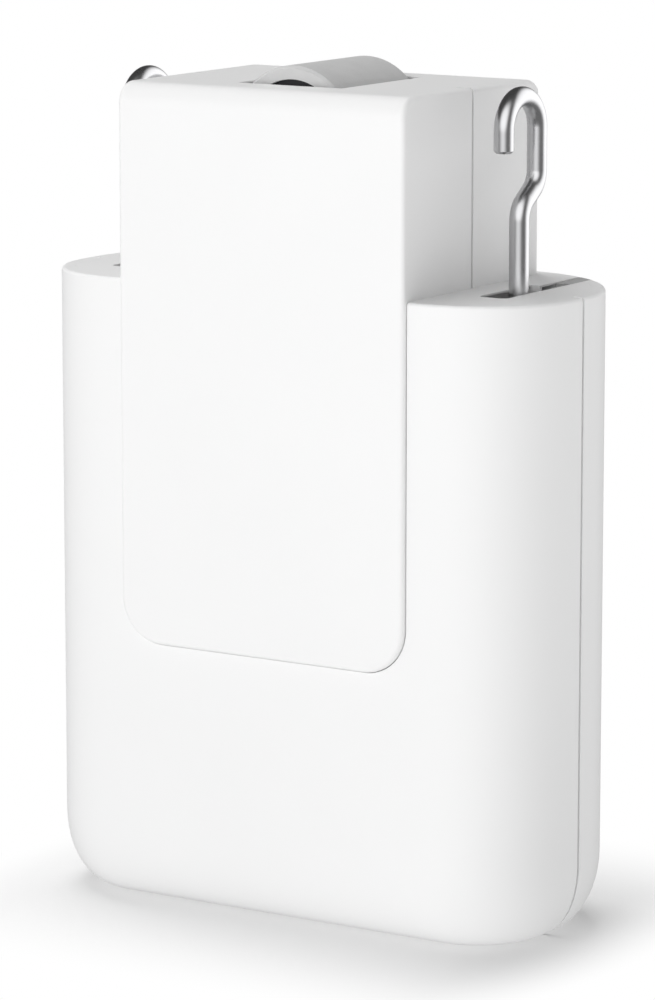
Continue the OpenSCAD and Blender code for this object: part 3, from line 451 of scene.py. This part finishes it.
@dataclass
class Housing:
    """The body's two shells and the deck that closes them."""

    width: float = 94.8
    front: float = -21.6
    back: float = 22.6
    height: float = 103.9
    wall: float = 2.2
    front_r: float = 17.1
    back_r: float = 23.6
    base_w: float = 7.5
    base_h: float = 12.2
    rim_r: float = 0.6
    seam: float = -1.8
    seam_gap: float = 0.6
    deck_t: float = 3.0
    plate_gap: float = 0.02
    port_y: float = -9.1
    port_w: float = 9.14
    port_t: float = 3.4
    button_x: float = 14.0
    button_hole_r: float = 2.5
    light_hole_r: float = 1.3
    well_r: float = 2.6
    well_floor: float = 1.2
    boss_r: float = 4.0
    boss_inset: float = 2.7
    screw_hole_r: float = 1.2
    wells: tuple[tuple[float, float], ...] = ((30.0, 9.0), (21.0, 92.9))
    slot_side: float = 37.8
    slot_w: float = 5.1
    slot_tail_w: float = 3.3
    slot_front: float = -9.6
    slot_step: float = 6.8
    slot_r: float = 1.0
    slot_lip: float = 0.3
    slot_room: float = 3.6
    slot_front_room: float = 1.0
    slot_post: float = 0.6
    tab_y: float = 11.5
    tab_drop: float = 0.1
    tab_t: float = 1.0
    tab_gap: float = 0.12
    opening_x: float = 19.1
    opening_front: float = -17.85
    opening_back: float = 17.6
    front_steps: int = 18
    back_steps: int = 24
    base_steps: int = 12
    rim_steps: int = 4
    slot_steps: int = 5
    port_steps: int = 8

    def round_uprights(self, form: Form, inset: float) -> Form:
        """Rounds the upright edges of a block that lies inside the body's outer face.

        Args:
            form: The block.
            inset: Distance inside the outer face.

        Returns:
            The same form.
        """
        for y, r, steps in ((self.front + inset, self.front_r, self.front_steps),
                            (self.back - inset, self.back_r, self.back_steps)):
            form.round_edges(lambda a, b: same(a.y, y) and same(b.y, y) and same(a.x, b.x), r - inset, steps)
        return form

    def skin(self, inset: float, top: float, rim_r: float) -> Form:
        """Makes the body's closed form, inset from its outer face.

        Args:
            inset: Distance inside the outer face.
            top: Height of the top.
            rim_r: Radius of the upper edge.

        Returns:
            The form.
        """
        w = self.width / 2 - inset
        squash = (self.base_w - inset) / (self.base_h - inset)
        form = Form().block((-w, self.front + inset, 0.0),
                            (w, self.back - inset, (top - inset) * squash))
        self.round_uprights(form, inset)
        form.round_edges(lambda a, b: same(a.z, 0.0) and same(b.z, 0.0), self.base_w - inset, self.base_steps)
        bmesh.ops.scale(form.mesh, vec=(1.0, 1.0, 1.0 / squash), verts=form.mesh.verts[:])
        bmesh.ops.translate(form.mesh, vec=(0.0, 0.0, inset), verts=form.mesh.verts[:])
        if rim_r > 0.0:
            form.round_edges(lambda a, b: same(a.z, top) and same(b.z, top), rim_r, self.rim_steps)
        return form

    def half(self, which: Half) -> Form:
        """Returns one hollow half of the body, up to the parting line."""
        way = which.value
        form = self.skin(0.0, self.height, self.rim_r)
        form.keep((0.0, self.seam + way * self.seam_gap / 2, 0.0), (0.0, -way, 0.0))
        return form.combine(self.skin(self.wall, self.height + OVER, 0.0), Change.CUT)

    def slot_blocks(self, w: float, front: float, back: float, low: float, high: float) -> Form:
        """Makes a block on each side, against the outer edges of the hooks' slots.

        Args:
            w: Width inwards from the slots' outer edges.
            front: Front end.
            back: Back end.
            low: Lower face.
            high: Upper face.

        Returns:
            The form.
        """
        form = Form()
        for side in Side:
            ends = sorted((side.value * self.slot_side, side.value * (self.slot_side - w)))
            form.block((ends[0], front, low), (ends[1], back, high))
        return form

    def cut_slots(self, plate: Form) -> Form:
        """Cuts the hooks' slots: wide round the stems, narrow behind them, with a thin upper lip."""
        low = self.height - self.deck_t - OVER
        high = self.height + OVER
        wide = self.slot_blocks(self.slot_w, self.slot_front, self.slot_step, low, high)
        wide.round_edges(lambda a, b: same(a.y, self.slot_front) and same(a.x, b.x) and same(a.y, b.y),
                         self.slot_r, self.slot_steps)
        plate.combine(wide, Change.CUT)
        tail = self.slot_blocks(self.slot_tail_w, self.slot_step - OVER, 2 * self.back, low, high)
        plate.combine(tail, Change.CUT)
        lip = self.height - self.slot_lip
        room = self.slot_blocks(self.slot_w + self.slot_room, self.slot_front - self.slot_front_room,
                                self.slot_step, low, lip)
        plate.combine(room, Change.CUT)
        tail_room = self.slot_blocks(self.slot_tail_w + self.slot_room, self.slot_step + self.slot_post,
                                     self.tab_y, low, lip)
        return plate.combine(tail_room, Change.CUT)

    def tabs(self) -> Form:
        """Returns the tabs that fill the ends of the slots, out to the rim, in a grey that is painted shade
        for the recess there.
        """
        form = Form()
        for side in Side:
            ends = sorted((side.value * (self.slot_side - self.tab_gap),
                           side.value * (self.slot_side - self.slot_tail_w + self.tab_gap)))
            form.block((ends[0], self.tab_y, self.height - self.tab_t + self.tab_gap),
                       (ends[1], 2 * self.back, self.height - self.tab_drop))
        return form.combine(self.skin(self.tab_gap, self.height, 0.0), Change.SHARE)

    def at_wells(self, start: float, r: float, length: float) -> Form:
        """Returns rods along Y at the screws that close the body."""
        form = Form()
        for x, z in self.wells:
            for side in Side:
                form.rod((side.value * x, start, z), (0.0, 1.0, 0.0), r, length)
        return form

    def base_holes(self) -> Form:
        """Returns the port, the button's hole and the light's hole in the base."""
        form = Form().block((-self.port_w / 2, self.port_y - self.port_t / 2, -OVER),
                            (self.port_w / 2, self.port_y + self.port_t / 2, 2 * self.wall))
        form.round_edges(lambda a, b: same(a.x, b.x) and same(a.y, b.y), self.port_t / 2 - TINY,
                         self.port_steps)
        form.rod((-self.button_x, self.port_y, -OVER), (0.0, 0.0, 1.0), self.button_hole_r, 2 * self.wall)
        form.rod((self.button_x, self.port_y, -OVER), (0.0, 0.0, 1.0), self.light_hole_r, 2 * self.wall)
        return form

    def deck(self) -> Form:
        """Returns the plate that closes the body round the tower."""
        inset = self.wall + self.plate_gap
        w = self.width / 2 - inset
        low = self.height - self.deck_t
        form = Form().block((-w, self.front + inset, low), (w, self.back - inset, self.height))
        self.cut_slots(self.round_uprights(form, inset))
        opening = Form().block((-self.opening_x, self.opening_front, low - OVER),
                               (self.opening_x, self.opening_back, self.height + OVER))
        return form.combine(opening, Change.CUT)

    def build(self, pocket: Form) -> None:
        """Builds the shells and the deck.

        Args:
            pocket: Form of the pocket for the tongue, cut from the front shell.
        """
        front = self.half(Half.FRONT).combine(pocket, Change.CUT).combine(self.base_holes(), Change.CUT)
        front.piece("front_half", MOULDED_WHITE, Body.HOUSING, ["front_shell"])
        notches = self.slot_blocks(self.slot_tail_w, self.tab_y, 2 * self.back, self.height - self.tab_t,
                                   2 * self.height)
        back = self.half(Half.BACK).combine(notches, Change.CUT)
        start = self.seam + self.seam_gap / 2
        back.combine(self.at_wells(start, self.boss_r, self.back - self.boss_inset - start), Change.JOIN)
        back.combine(self.at_wells(self.well_floor, self.well_r, self.back), Change.CUT)
        back.combine(self.at_wells(self.seam - OVER, self.screw_hole_r, self.back), Change.CUT)
        back.piece("back_half", MOULDED_WHITE, Body.HOUSING, ["back_cover"])
        self.deck().piece("deck_plate", MOULDED_WHITE, Body.HOUSING, ["shoulder_deck"])
        # The tabs are white like the cover; their grey finish is painted shade.
        self.tabs().piece("slot_tabs_painted_shade", TAB_GREY_PAINTED_SHADE, Body.HOUSING, [])


@dataclass
class Tower:
    """The tower above the shoulders, with the long tongue that its front runs down into."""

    width: float = 54.0
    front: float = -22.6
    back: float = 20.1
    foot: float = 103.9
    top: float = 135.7
    tongue_z: float = 44.3
    tongue_r: float = 7.5
    panel_t: float = 2.2
    front_r: float = 3.4
    back_r: float = 4.4
    cap_side: float = 3.1
    edge_r: float = 0.8
    back_edge_r: float = 2.1
    wall: float = 1.8
    back_t: float = 2.4
    cap_t: float = 1.8
    ledge: float = 1.2
    plate_gap: float = 0.02
    pocket_gap: float = 0.12
    seam: float = -1.8
    seam_gap: float = 0.6
    window_x: float = 9.79
    window_front: float = -13.35
    window_back: float = 10.75
    window_lip: float = 0.25
    window_room: float = 2.2
    room_drop: float = 5.0
    foot_spare: float = 10.0
    tongue_steps: int = 12
    bend_steps: int = 12
    edge_steps: int = 5

    def round_tongue(self, form: Form, low: float, r: float) -> Form:
        """Rounds the two lower corners of the tongue or of its pocket.

        Args:
            form: Block of the tongue or the pocket.
            low: Its lower edge.
            r: Radius.

        Returns:
            The same form.
        """
        return form.round_edges(lambda a, b: same(a.z, low) and same(b.z, low) and same(a.x, b.x),
                                r, self.tongue_steps)

    def pocket(self) -> Form:
        """Returns the pocket that the tongue lies in."""
        w = self.width / 2 + self.pocket_gap
        low = self.tongue_z - self.pocket_gap
        form = Form().block((-w, self.front - OVER, low), (w, self.front + self.panel_t, self.top))
        return self.round_tongue(form, low, self.tongue_r + self.pocket_gap)

    def on_rim(self, a: Vector, b: Vector, face: float, seam: float, bend: float) -> bool:
        """Tells whether an edge lies round one of the tower's sides or round its outer face.

        Args:
            a: First end of the edge.
            b: Second end of the edge.
            face: Place of the outer face along Y.
            seam: Place of the parting line along Y.
            bend: Height where the outer face bends into the top.

        Returns:
            True for an edge of that rim.
        """
        if same(a.y, face) and same(b.y, face):
            return min(a.z, b.z) < bend - TINY
        on_side = same(abs(a.x), self.width / 2) and same(a.x, b.x)
        return on_side and max(a.z, b.z) > bend + TINY and not (same(a.y, seam) and same(b.y, seam))

    def round_rims(self, form: Form, face: float, seam: float, r: float) -> Form:
        """Rounds a half's upper edge, then the rims of its sides and its outer face.

        Args:
            form: Solid half of the tower.
            face: Place of its outer face along Y.
            seam: Place of its parting line along Y.
            r: Radius of its upper edge, which shows from the side.

        Returns:
            The same form.
        """
        form.round_edges(lambda a, b: same(a.z, self.top) and same(b.z, self.top) and same(a.y, face)
                         and same(b.y, face), r, self.bend_steps)
        return form.round_edges(lambda a, b: self.on_rim(a, b, face, seam, self.top - r), self.edge_r,
                                self.edge_steps)

    def hollow(self, form: Form) -> Form:
        """Cuts the room inside the tower, the opening under the cap and the cap's recess.

        Args:
            form: Solid half of the tower.

        Returns:
            The same form, hollow.
        """
        cap_z = self.top - self.cap_t
        for x_inset, front_inset, back_inset, low, high in (
                (self.wall, self.panel_t, self.back_t, self.foot - self.room_drop, cap_z - self.ledge),
                (self.cap_side + self.ledge, self.panel_t, self.back_t, cap_z - 2 * self.ledge, cap_z),
                (self.cap_side, self.front_r, self.back_r, cap_z - TINY, self.top + OVER)):
            w = self.width / 2 - x_inset
            room = Form().block((-w, self.front + front_inset, low), (w, self.back - back_inset, high))
            form.combine(room, Change.CUT)
        return form

    def front_half(self) -> Form:
        """Returns the tower's front half and its tongue, one moulding."""
        w = self.width / 2
        seam = self.seam - self.seam_gap / 2
        form = Form().block((-w, self.front, self.tongue_z), (w, seam, self.top))
        self.round_tongue(form, self.tongue_z, self.tongue_r)
        self.round_rims(form, self.front, seam, self.front_r)
        below = Form().block((-self.width, self.front + self.panel_t, 0.0),
                             (self.width, self.back, self.foot))
        return self.hollow(form.combine(below, Change.CUT))

    def back_half(self) -> Form:
        """Returns the tower's back half."""
        w = self.width / 2
        seam = self.seam + self.seam_gap / 2
        form = Form().block((-w, seam, self.foot - self.foot_spare), (w, self.back, self.top))
        self.round_rims(form, self.back, seam, self.back_r)
        form.keep((0.0, 0.0, self.foot), (0.0, 0.0, -1.0))
        return self.hollow(form.combine(self.back_edges(), Change.CUT))

    def back_edges(self) -> Form:
        """Returns what is cut from the upright back edges to round them."""
        r = self.back_edge_r
        waste = Form()
        rods = Form()
        for side in Side:
            x = side.value * (self.width / 2 - r)
            ends = sorted((x, side.value * (self.width / 2 + OVER)))
            waste.block((ends[0], self.back - r, self.foot - OVER),
                        (ends[1], self.back + OVER, self.top + OVER))
            rods.rod((x, self.back - r, self.foot - 2 * OVER), (0.0, 0.0, 1.0), r,
                     self.top - self.foot + 4 * OVER)
        return waste.combine(rods, Change.CUT)

    def cap(self) -> Form:
        """Returns the cap with the roller's window, which has a thin upper lip."""
        w = self.width / 2 - self.cap_side - self.plate_gap
        low = self.top - self.cap_t
        form = Form().block((-w, self.front + self.front_r + self.plate_gap, low),
                            (w, self.back - self.back_r - self.plate_gap, self.top))
        window = Form().block((-self.window_x, self.window_front, low - OVER),
                              (self.window_x, self.window_back, self.top + OVER))
        form.combine(window, Change.CUT)
        room = self.window_room
        under = Form().block((-self.window_x - room, self.window_front - room, low - OVER),
                             (self.window_x + room, self.window_back + room, self.top - self.window_lip))
        return form.combine(under, Change.CUT)

    def build(self) -> None:
        """Builds the two halves and the cap."""
        self.front_half().piece("tower_front_and_tongue", MOULDED_WHITE, Body.HOUSING, ["front_panel"])
        self.back_half().piece("tower_rear", MOULDED_WHITE, Body.HOUSING, ["tower_back"])
        self.cap().piece("tower_top_plate", MOULDED_WHITE, Body.HOUSING, ["tower_cap"])


@dataclass
class Roller:
    """The roller's tyre."""

    r: float = 11.35
    bore_r: float = 9.16
    start: float = -12.55
    length: float = 22.5
    chamfer: float = 0.45
    axis_z: float = 127.45
    steps: int = 120

    def build(self) -> None:
        """Builds the tyre by turning its section about the axle."""
        form = Form()
        mesh = form.mesh
        stops = (self.start, self.start + self.length)
        inner = [mesh.verts.new((self.bore_r, y, self.axis_z)) for y in stops]
        outer = [mesh.verts.new((self.r, y, self.axis_z)) for y in stops]
        for a, b in ((inner[0], outer[0]), (outer[0], outer[1]), (outer[1], inner[1]), (inner[1], inner[0])):
            mesh.edges.new((a, b))
        bmesh.ops.spin(mesh, geom=mesh.verts[:] + mesh.edges[:], cent=(0.0, 0.0, self.axis_z),
                       axis=(0.0, 1.0, 0.0), angle=2 * math.pi, steps=self.steps, use_merge=True)
        bmesh.ops.remove_doubles(mesh, verts=mesh.verts[:], dist=TINY)
        bmesh.ops.recalc_face_normals(mesh, faces=mesh.faces[:])
        ring = self.r - TINY
        form.round_edges(lambda a, b: same(a.y, b.y) and min(self.reach(a), self.reach(b)) > ring,
                         self.chamfer, 1)
        form.piece("roller_sleeve", TYRE_RUBBER, Body.ROLLER, ["roller_tyre"])

    def reach(self, point: Vector) -> float:
        """Returns a point's distance from the axle."""
        return math.hypot(point.x, point.z - self.axis_z)


@dataclass
class Spring:
    """One hook's coil spring, which shortens as the hook is pulled out."""

    side: Side
    x: float = 35.6
    y: float = -1.8
    low: float = 67.46
    high: float = 93.54
    r: float = 3.0
    wire_r: float = 0.35
    turns: int = 9
    end_rise: float = 1.2
    steps: int = 24
    sides: int = 8

    def build(self) -> None:
        """Winds the coil, with one close turn at each end."""
        form = Form()
        mesh = form.mesh
        x = self.side.value * self.x
        ring = bmesh.ops.create_circle(mesh, cap_ends=True, segments=self.sides, radius=self.wire_r)["verts"]
        bmesh.ops.rotate(mesh, matrix=Matrix.Rotation(math.pi / 2, 3, "X"), verts=ring)
        bmesh.ops.translate(mesh, vec=(x + self.r, self.y, self.low), verts=ring)
        end = [edge for edge in mesh.edges if edge.is_boundary]
        open_rise = self.high - self.low - 2 * self.end_rise
        for turns, rise in ((1, self.end_rise), (self.turns - 2, open_rise), (1, self.end_rise)):
            steps = turns * self.steps
            verts = list({vert for edge in end for vert in edge.verts})
            made = bmesh.ops.spin(mesh, geom=verts + end, cent=(x, self.y, 0.0), axis=(0.0, 0.0, 1.0),
                                  dvec=(0.0, 0.0, rise / steps), angle=2 * math.pi * turns, steps=steps)
            end = [item for item in made["geom_last"] if isinstance(item, bmesh.types.BMEdge)]
        bmesh.ops.contextual_create(mesh, geom=end)
        name = self.side.name.lower()
        coil = form.dressed("coil_spring_" + name, BRIGHT_STEEL, ["hook_spring_" + name])
        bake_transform(coil)


@dataclass
class Hook:
    """One hook of bent steel wire, from its foot in the body to the tip of its nose."""

    side: Side
    x: float = 35.6
    wire_r: float = 1.6
    stem_y: float = -1.8
    foot: float = 63.9
    jog: float = 5.35
    jog_r: float = 3.8
    jog_angle: float = 55.0
    jog_z: float = 119.05
    bowl_y: float = -1.6
    bowl_z: float = 129.65
    bowl_r: float = 5.15
    nose: float = 3.35
    tip: float = 0.4
    sides: int = 32
    jog_steps: int = 12
    bowl_steps: int = 36

    def build(self) -> None:
        """Bends the wire from its foot to its tip."""
        form = Form()
        mesh = form.mesh
        x = self.side.value * self.x
        bend = math.radians(self.jog_angle)
        slant = (self.jog - 2 * self.jog_r * (1 - math.cos(bend))) / math.sin(bend)
        rise = self.jog_r * math.sin(bend) + slant * math.cos(bend) / 2
        low = self.jog_z - rise
        high = self.jog_z + rise
        leg_y = self.stem_y + self.jog
        ring = bmesh.ops.create_circle(mesh, cap_ends=True, segments=self.sides, radius=self.wire_r)["verts"]
        bmesh.ops.translate(mesh, vec=(x, self.stem_y, self.foot), verts=ring)
        end = [edge for edge in mesh.edges if edge.is_boundary]
        end = self.run(mesh, end, (0.0, 0.0, low - self.foot))
        end = self.curve(mesh, end, (x, self.stem_y + self.jog_r, low), -bend, self.jog_steps)
        end = self.run(mesh, end, (0.0, slant * math.sin(bend), slant * math.cos(bend)))
        end = self.curve(mesh, end, (x, leg_y - self.jog_r, high), bend, self.jog_steps)
        end = self.run(mesh, end, (0.0, 0.0, self.bowl_z - high))
        end = self.curve(mesh, end, (x, self.bowl_y, self.bowl_z), math.pi, self.bowl_steps)
        end = self.run(mesh, end, (0.0, 0.0, self.tip - self.nose))
        end = self.run(mesh, end, (0.0, 0.0, -self.tip))
        rim = {vert for edge in end for vert in edge.verts}
        share = (self.wire_r - self.tip) / self.wire_r
        tip = Vector((x, self.bowl_y - self.bowl_r, self.bowl_z - self.nose))
        bmesh.ops.scale(mesh, vec=(share, share, 1.0), space=Matrix.Translation(-tip), verts=list(rim))
        bmesh.ops.contextual_create(mesh, geom=end)
        name = self.side.name.lower()
        form.piece("wire_hook_" + name, HOOK_STEEL, Body(name + "_hook"), ["hook_" + name])

    @staticmethod
    def run(mesh: bmesh.types.BMesh, end: list[bmesh.types.BMEdge], step: Point) -> list[bmesh.types.BMEdge]:
        """Draws the wire straight on from its open end.

        Args:
            mesh: Mesh of the wire.
            end: Edges round its open end.
            step: How far it goes on.

        Returns:
            Edges round the new end.
        """
        made = bmesh.ops.extrude_edge_only(mesh, edges=end)["geom"]
        verts = [item for item in made if isinstance(item, bmesh.types.BMVert)]
        bmesh.ops.translate(mesh, vec=step, verts=verts)
        fresh = set(verts)
        return [item for item in made if isinstance(item, bmesh.types.BMEdge) and set(item.verts) <= fresh]

    @staticmethod
    def curve(mesh: bmesh.types.BMesh, end: list[bmesh.types.BMEdge], centre: Point, angle: float,
              steps: int) -> list[bmesh.types.BMEdge]:
        """Bends the wire on about an axis along X.

        Args:
            mesh: Mesh of the wire.
            end: Edges round its open end.
            centre: Centre of the bend.
            angle: Angle turned, in radians.
            steps: Rings in the bend.

        Returns:
            Edges round the new end.
        """
        geom = list({vert for edge in end for vert in edge.verts}) + end
        last = bmesh.ops.spin(mesh, geom=geom, cent=centre, axis=(1.0, 0.0, 0.0), angle=angle, steps=steps,
                              use_merge=False)["geom_last"]
        return [item for item in last if isinstance(item, bmesh.types.BMEdge)]


@dataclass
class Lamp:
    """A soft rectangular studio lamp, aimed at the robot and not mirrored in shiny surfaces.

    Attributes:
        name: Its name.
        place: Its middle.
        width: Its width.
        height: Its height.
        power: Its power in watts.
        target: Point that it is aimed at.
    """

    name: str
    place: Point
    width: float
    height: float
    power: float
    target: Point = (0.0, 0.0, 0.07)

    def build(self) -> None:
        """Hangs the lamp."""
        light = bpy.data.lights.new(self.name, "AREA")
        light.shape = "RECTANGLE"
        light.size = self.width
        light.size_y = self.height
        light.energy = self.power
        made = bpy.data.objects.new(self.name, light)
        made.location = self.place
        aim = Vector(self.target) - Vector(self.place)
        made.rotation_euler = aim.to_track_quat("-Z", "Y").to_euler()
        made.visible_glossy = False
        bpy.context.scene.collection.objects.link(made)


@dataclass
class Studio:
    """Floor, surroundings, lamps and camera."""

    floor_half: float = 6.0
    floor_grey: float = 0.86
    foot_stretch: Point = (2.2, 1.0, 1.0)
    foot_half: Point = (0.088, 0.01, 0.0)
    fade_reach: float = 0.05
    sky: float = 0.43
    table_left: float = 0.8
    table_right: float = 1.14
    table_reach: float = 0.2
    mirrored_side: float = 0.26
    mirrored_top: float = 0.08
    ceiling_start: float = 0.05
    ceiling_end: float = 0.45
    bright_side: Point = (0.52, 0.83, 0.2)
    bright_front: Point = (0.302, -0.83, 0.469)
    bright_rim: float = 0.6
    bright_middle: float = 0.95
    side_level: float = 2.0
    front_level: float = 1.9
    camera_place: Point = (0.40668, -0.63517, 0.20288)
    camera_turn: Point = (79.774, 0.0, 32.723)
    lens: float = 168.57

    def build(self) -> None:
        """Builds the studio round the robot."""
        self.floor()
        self.surroundings()
        Lamp("front_lamp", place=(0.0, -1.5, 0.42), width=2.2, height=0.9, power=15.7).build()
        Lamp("left_lamp", place=(-1.2, -0.7, 0.6), width=0.8, height=0.8, power=2.4).build()
        Lamp("top_lamp", place=(-0.45, 0.35, 1.2), width=0.8, height=0.8, power=8.4).build()
        self.camera()

    def floor(self) -> None:
        """Lays the floor."""
        mesh = bmesh.new()
        bmesh.ops.create_grid(mesh, x_segments=1, y_segments=1, size=self.floor_half)
        data = bpy.data.meshes.new("floor")
        mesh.to_mesh(data)
        mesh.free()
        made = bpy.data.objects.new("floor", data)
        made.visible_glossy = False
        bpy.context.scene.collection.objects.link(made)
        made.data.materials.append(self.floor_material())

    def floor_material(self) -> bpy.types.Material:
        """Makes the pale floor, which fades to white away from the robot.

        Returns:
            The material. To all rays but the camera's it is a lit table, brighter on its right side.
        """
        material = bpy.data.materials.new("pale_floor")
        material.use_nodes = True
        tree = material.node_tree
        grey = self.floor_grey
        plain = tree.nodes["Principled BSDF"]
        plain.inputs["Base Color"].default_value = (grey, grey, grey, 1.0)
        plain.inputs["Roughness"].default_value = 0.9
        plain.inputs["Specular IOR Level"].default_value = 0.1
        white = tree.nodes.new("ShaderNodeEmission")
        place = tree.nodes.new("ShaderNodeTexCoord")
        stretched = maths(tree, "MULTIPLY", VECTOR_MATHS)
        stretched.inputs[1].default_value = self.foot_stretch
        folded = maths(tree, "ABSOLUTE", VECTOR_MATHS)
        beyond = maths(tree, "SUBTRACT", VECTOR_MATHS)
        beyond.inputs[1].default_value = self.foot_half
        outside = maths(tree, "MAXIMUM", VECTOR_MATHS)
        away = maths(tree, "LENGTH", VECTOR_MATHS)
        fade = tree.nodes.new("ShaderNodeMapRange")
        fade.interpolation_type = "SMOOTHSTEP"
        fade.inputs["From Max"].default_value = self.fade_reach
        path = tree.nodes.new("ShaderNodeLightPath")
        parts = tree.nodes.new("ShaderNodeSeparateXYZ")
        table = tree.nodes.new("ShaderNodeMapRange")
        table.inputs["From Max"].default_value = self.table_reach
        table.inputs["To Min"].default_value = self.table_left
        table.inputs["To Max"].default_value = self.table_right
        level = tree.nodes.new("ShaderNodeMapRange")
        unseen = maths(tree, "SUBTRACT")
        unseen.inputs[0].default_value = 1.0
        share = maths(tree, "MAXIMUM")
        mix = tree.nodes.new("ShaderNodeMixShader")
        join = tree.links.new
        join(place.outputs["Object"], stretched.inputs[0])
        join(stretched.outputs["Vector"], folded.inputs[0])
        join(folded.outputs["Vector"], beyond.inputs[0])
        join(beyond.outputs["Vector"], outside.inputs[0])
        join(outside.outputs["Vector"], away.inputs[0])
        join(place.outputs["Object"], parts.inputs["Vector"])
        join(parts.outputs["X"], table.inputs["Value"])
        join(table.outputs["Result"], level.inputs["To Min"])
        join(away.outputs["Value"], fade.inputs["Value"])
        join(path.outputs["Is Camera Ray"], unseen.inputs[1])
        join(path.outputs["Is Camera Ray"], level.inputs["Value"])
        join(level.outputs["Result"], white.inputs["Strength"])
        join(fade.outputs["Result"], share.inputs[0])
        join(unseen.outputs["Value"], share.inputs[1])
        join(share.outputs["Value"], mix.inputs[0])
        join(plain.outputs["BSDF"], mix.inputs[1])
        join(white.outputs["Emission"], mix.inputs[2])
        join(mix.outputs["Shader"], tree.nodes["Material Output"].inputs["Surface"])
        return material

    def surroundings(self) -> None:
        """Sets a surround that shows white, lights the robot evenly and mirrors two bright patches."""
        world = bpy.data.worlds.new("studio")
        bpy.context.scene.world = world
        world.use_nodes = True
        tree = world.node_tree
        shown = tree.nodes["Background"]
        shown.inputs["Color"].default_value = (1.0, 1.0, 1.0, 1.0)
        shown.inputs["Strength"].default_value = 1.0
        light = tree.nodes.new("ShaderNodeBackground")
        light.inputs["Strength"].default_value = self.sky
        mirrored = tree.nodes.new("ShaderNodeBackground")
        place = tree.nodes.new("ShaderNodeTexCoord")
        parts = tree.nodes.new("ShaderNodeSeparateXYZ")
        ceiling = tree.nodes.new("ShaderNodeMapRange")
        ceiling.inputs["From Min"].default_value = self.ceiling_start
        ceiling.inputs["From Max"].default_value = self.ceiling_end
        ceiling.inputs["To Min"].default_value = self.mirrored_side
        ceiling.inputs["To Max"].default_value = self.mirrored_top
        join = tree.links.new
        total = ceiling
        patches = ((self.bright_side, self.side_level), (self.bright_front, self.front_level))
        for direction, level in patches:
            facing = maths(tree, "DOT_PRODUCT", VECTOR_MATHS)
            facing.inputs[1].default_value = direction
            bright = tree.nodes.new("ShaderNodeMapRange")
            bright.interpolation_type = "SMOOTHSTEP"
            bright.inputs["From Min"].default_value = self.bright_rim
            bright.inputs["From Max"].default_value = self.bright_middle
            bright.inputs["To Max"].default_value = level
            both = maths(tree, "ADD")
            join(place.outputs["Generated"], facing.inputs[0])
            join(facing.outputs["Value"], bright.inputs["Value"])
            join(total.outputs[0], both.inputs[0])
            join(bright.outputs["Result"], both.inputs[1])
            total = both
        path = tree.nodes.new("ShaderNodeLightPath")
        first = tree.nodes.new("ShaderNodeMixShader")
        second = tree.nodes.new("ShaderNodeMixShader")
        join(place.outputs["Generated"], parts.inputs["Vector"])
        join(parts.outputs["Z"], ceiling.inputs["Value"])
        join(total.outputs["Value"], mirrored.inputs["Strength"])
        join(path.outputs["Is Glossy Ray"], first.inputs[0])
        join(light.outputs["Background"], first.inputs[1])
        join(mirrored.outputs["Background"], first.inputs[2])
        join(path.outputs["Is Camera Ray"], second.inputs[0])
        join(first.outputs["Shader"], second.inputs[1])
        join(shown.outputs["Background"], second.inputs[2])
        join(second.outputs["Shader"], tree.nodes["World Output"].inputs["Surface"])

    def camera(self) -> None:
        """Sets the camera where the photograph was taken from."""
        lens = bpy.data.cameras.new("camera")
        lens.lens = self.lens
        lens.sensor_width = 36.0
        lens.clip_start = 0.05
        made = bpy.data.objects.new("camera", lens)
        made.location = self.camera_place
        made.rotation_euler = [math.radians(angle) for angle in self.camera_turn]
        bpy.context.scene.collection.objects.link(made)
        bpy.context.scene.camera = made


def dress_kept_nodes() -> None:
    """Gives the CAD nodes that stay in view their finishes."""
    for finish, names in KEPT_NODES.items():
        for name in names:
            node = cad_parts[name]
            node.data.materials.clear()
            node.data.materials.append(finish.material())
            LOG.info("%s: kept, finish %s", name, finish.slot)


def main() -> None:
    """Builds the robot and its studio."""
    logging.basicConfig(level=logging.INFO, format="%(name)s %(message)s")
    bpy.context.scene.view_settings.view_transform = "Standard"
    tower = Tower()
    Housing().build(tower.pocket())
    tower.build()
    Roller().build()
    for side in Side:
        Hook(side).build()
        Spring(side).build()
    dress_kept_nodes()
    Studio().build()


if __name__ == "__main__":
    main()
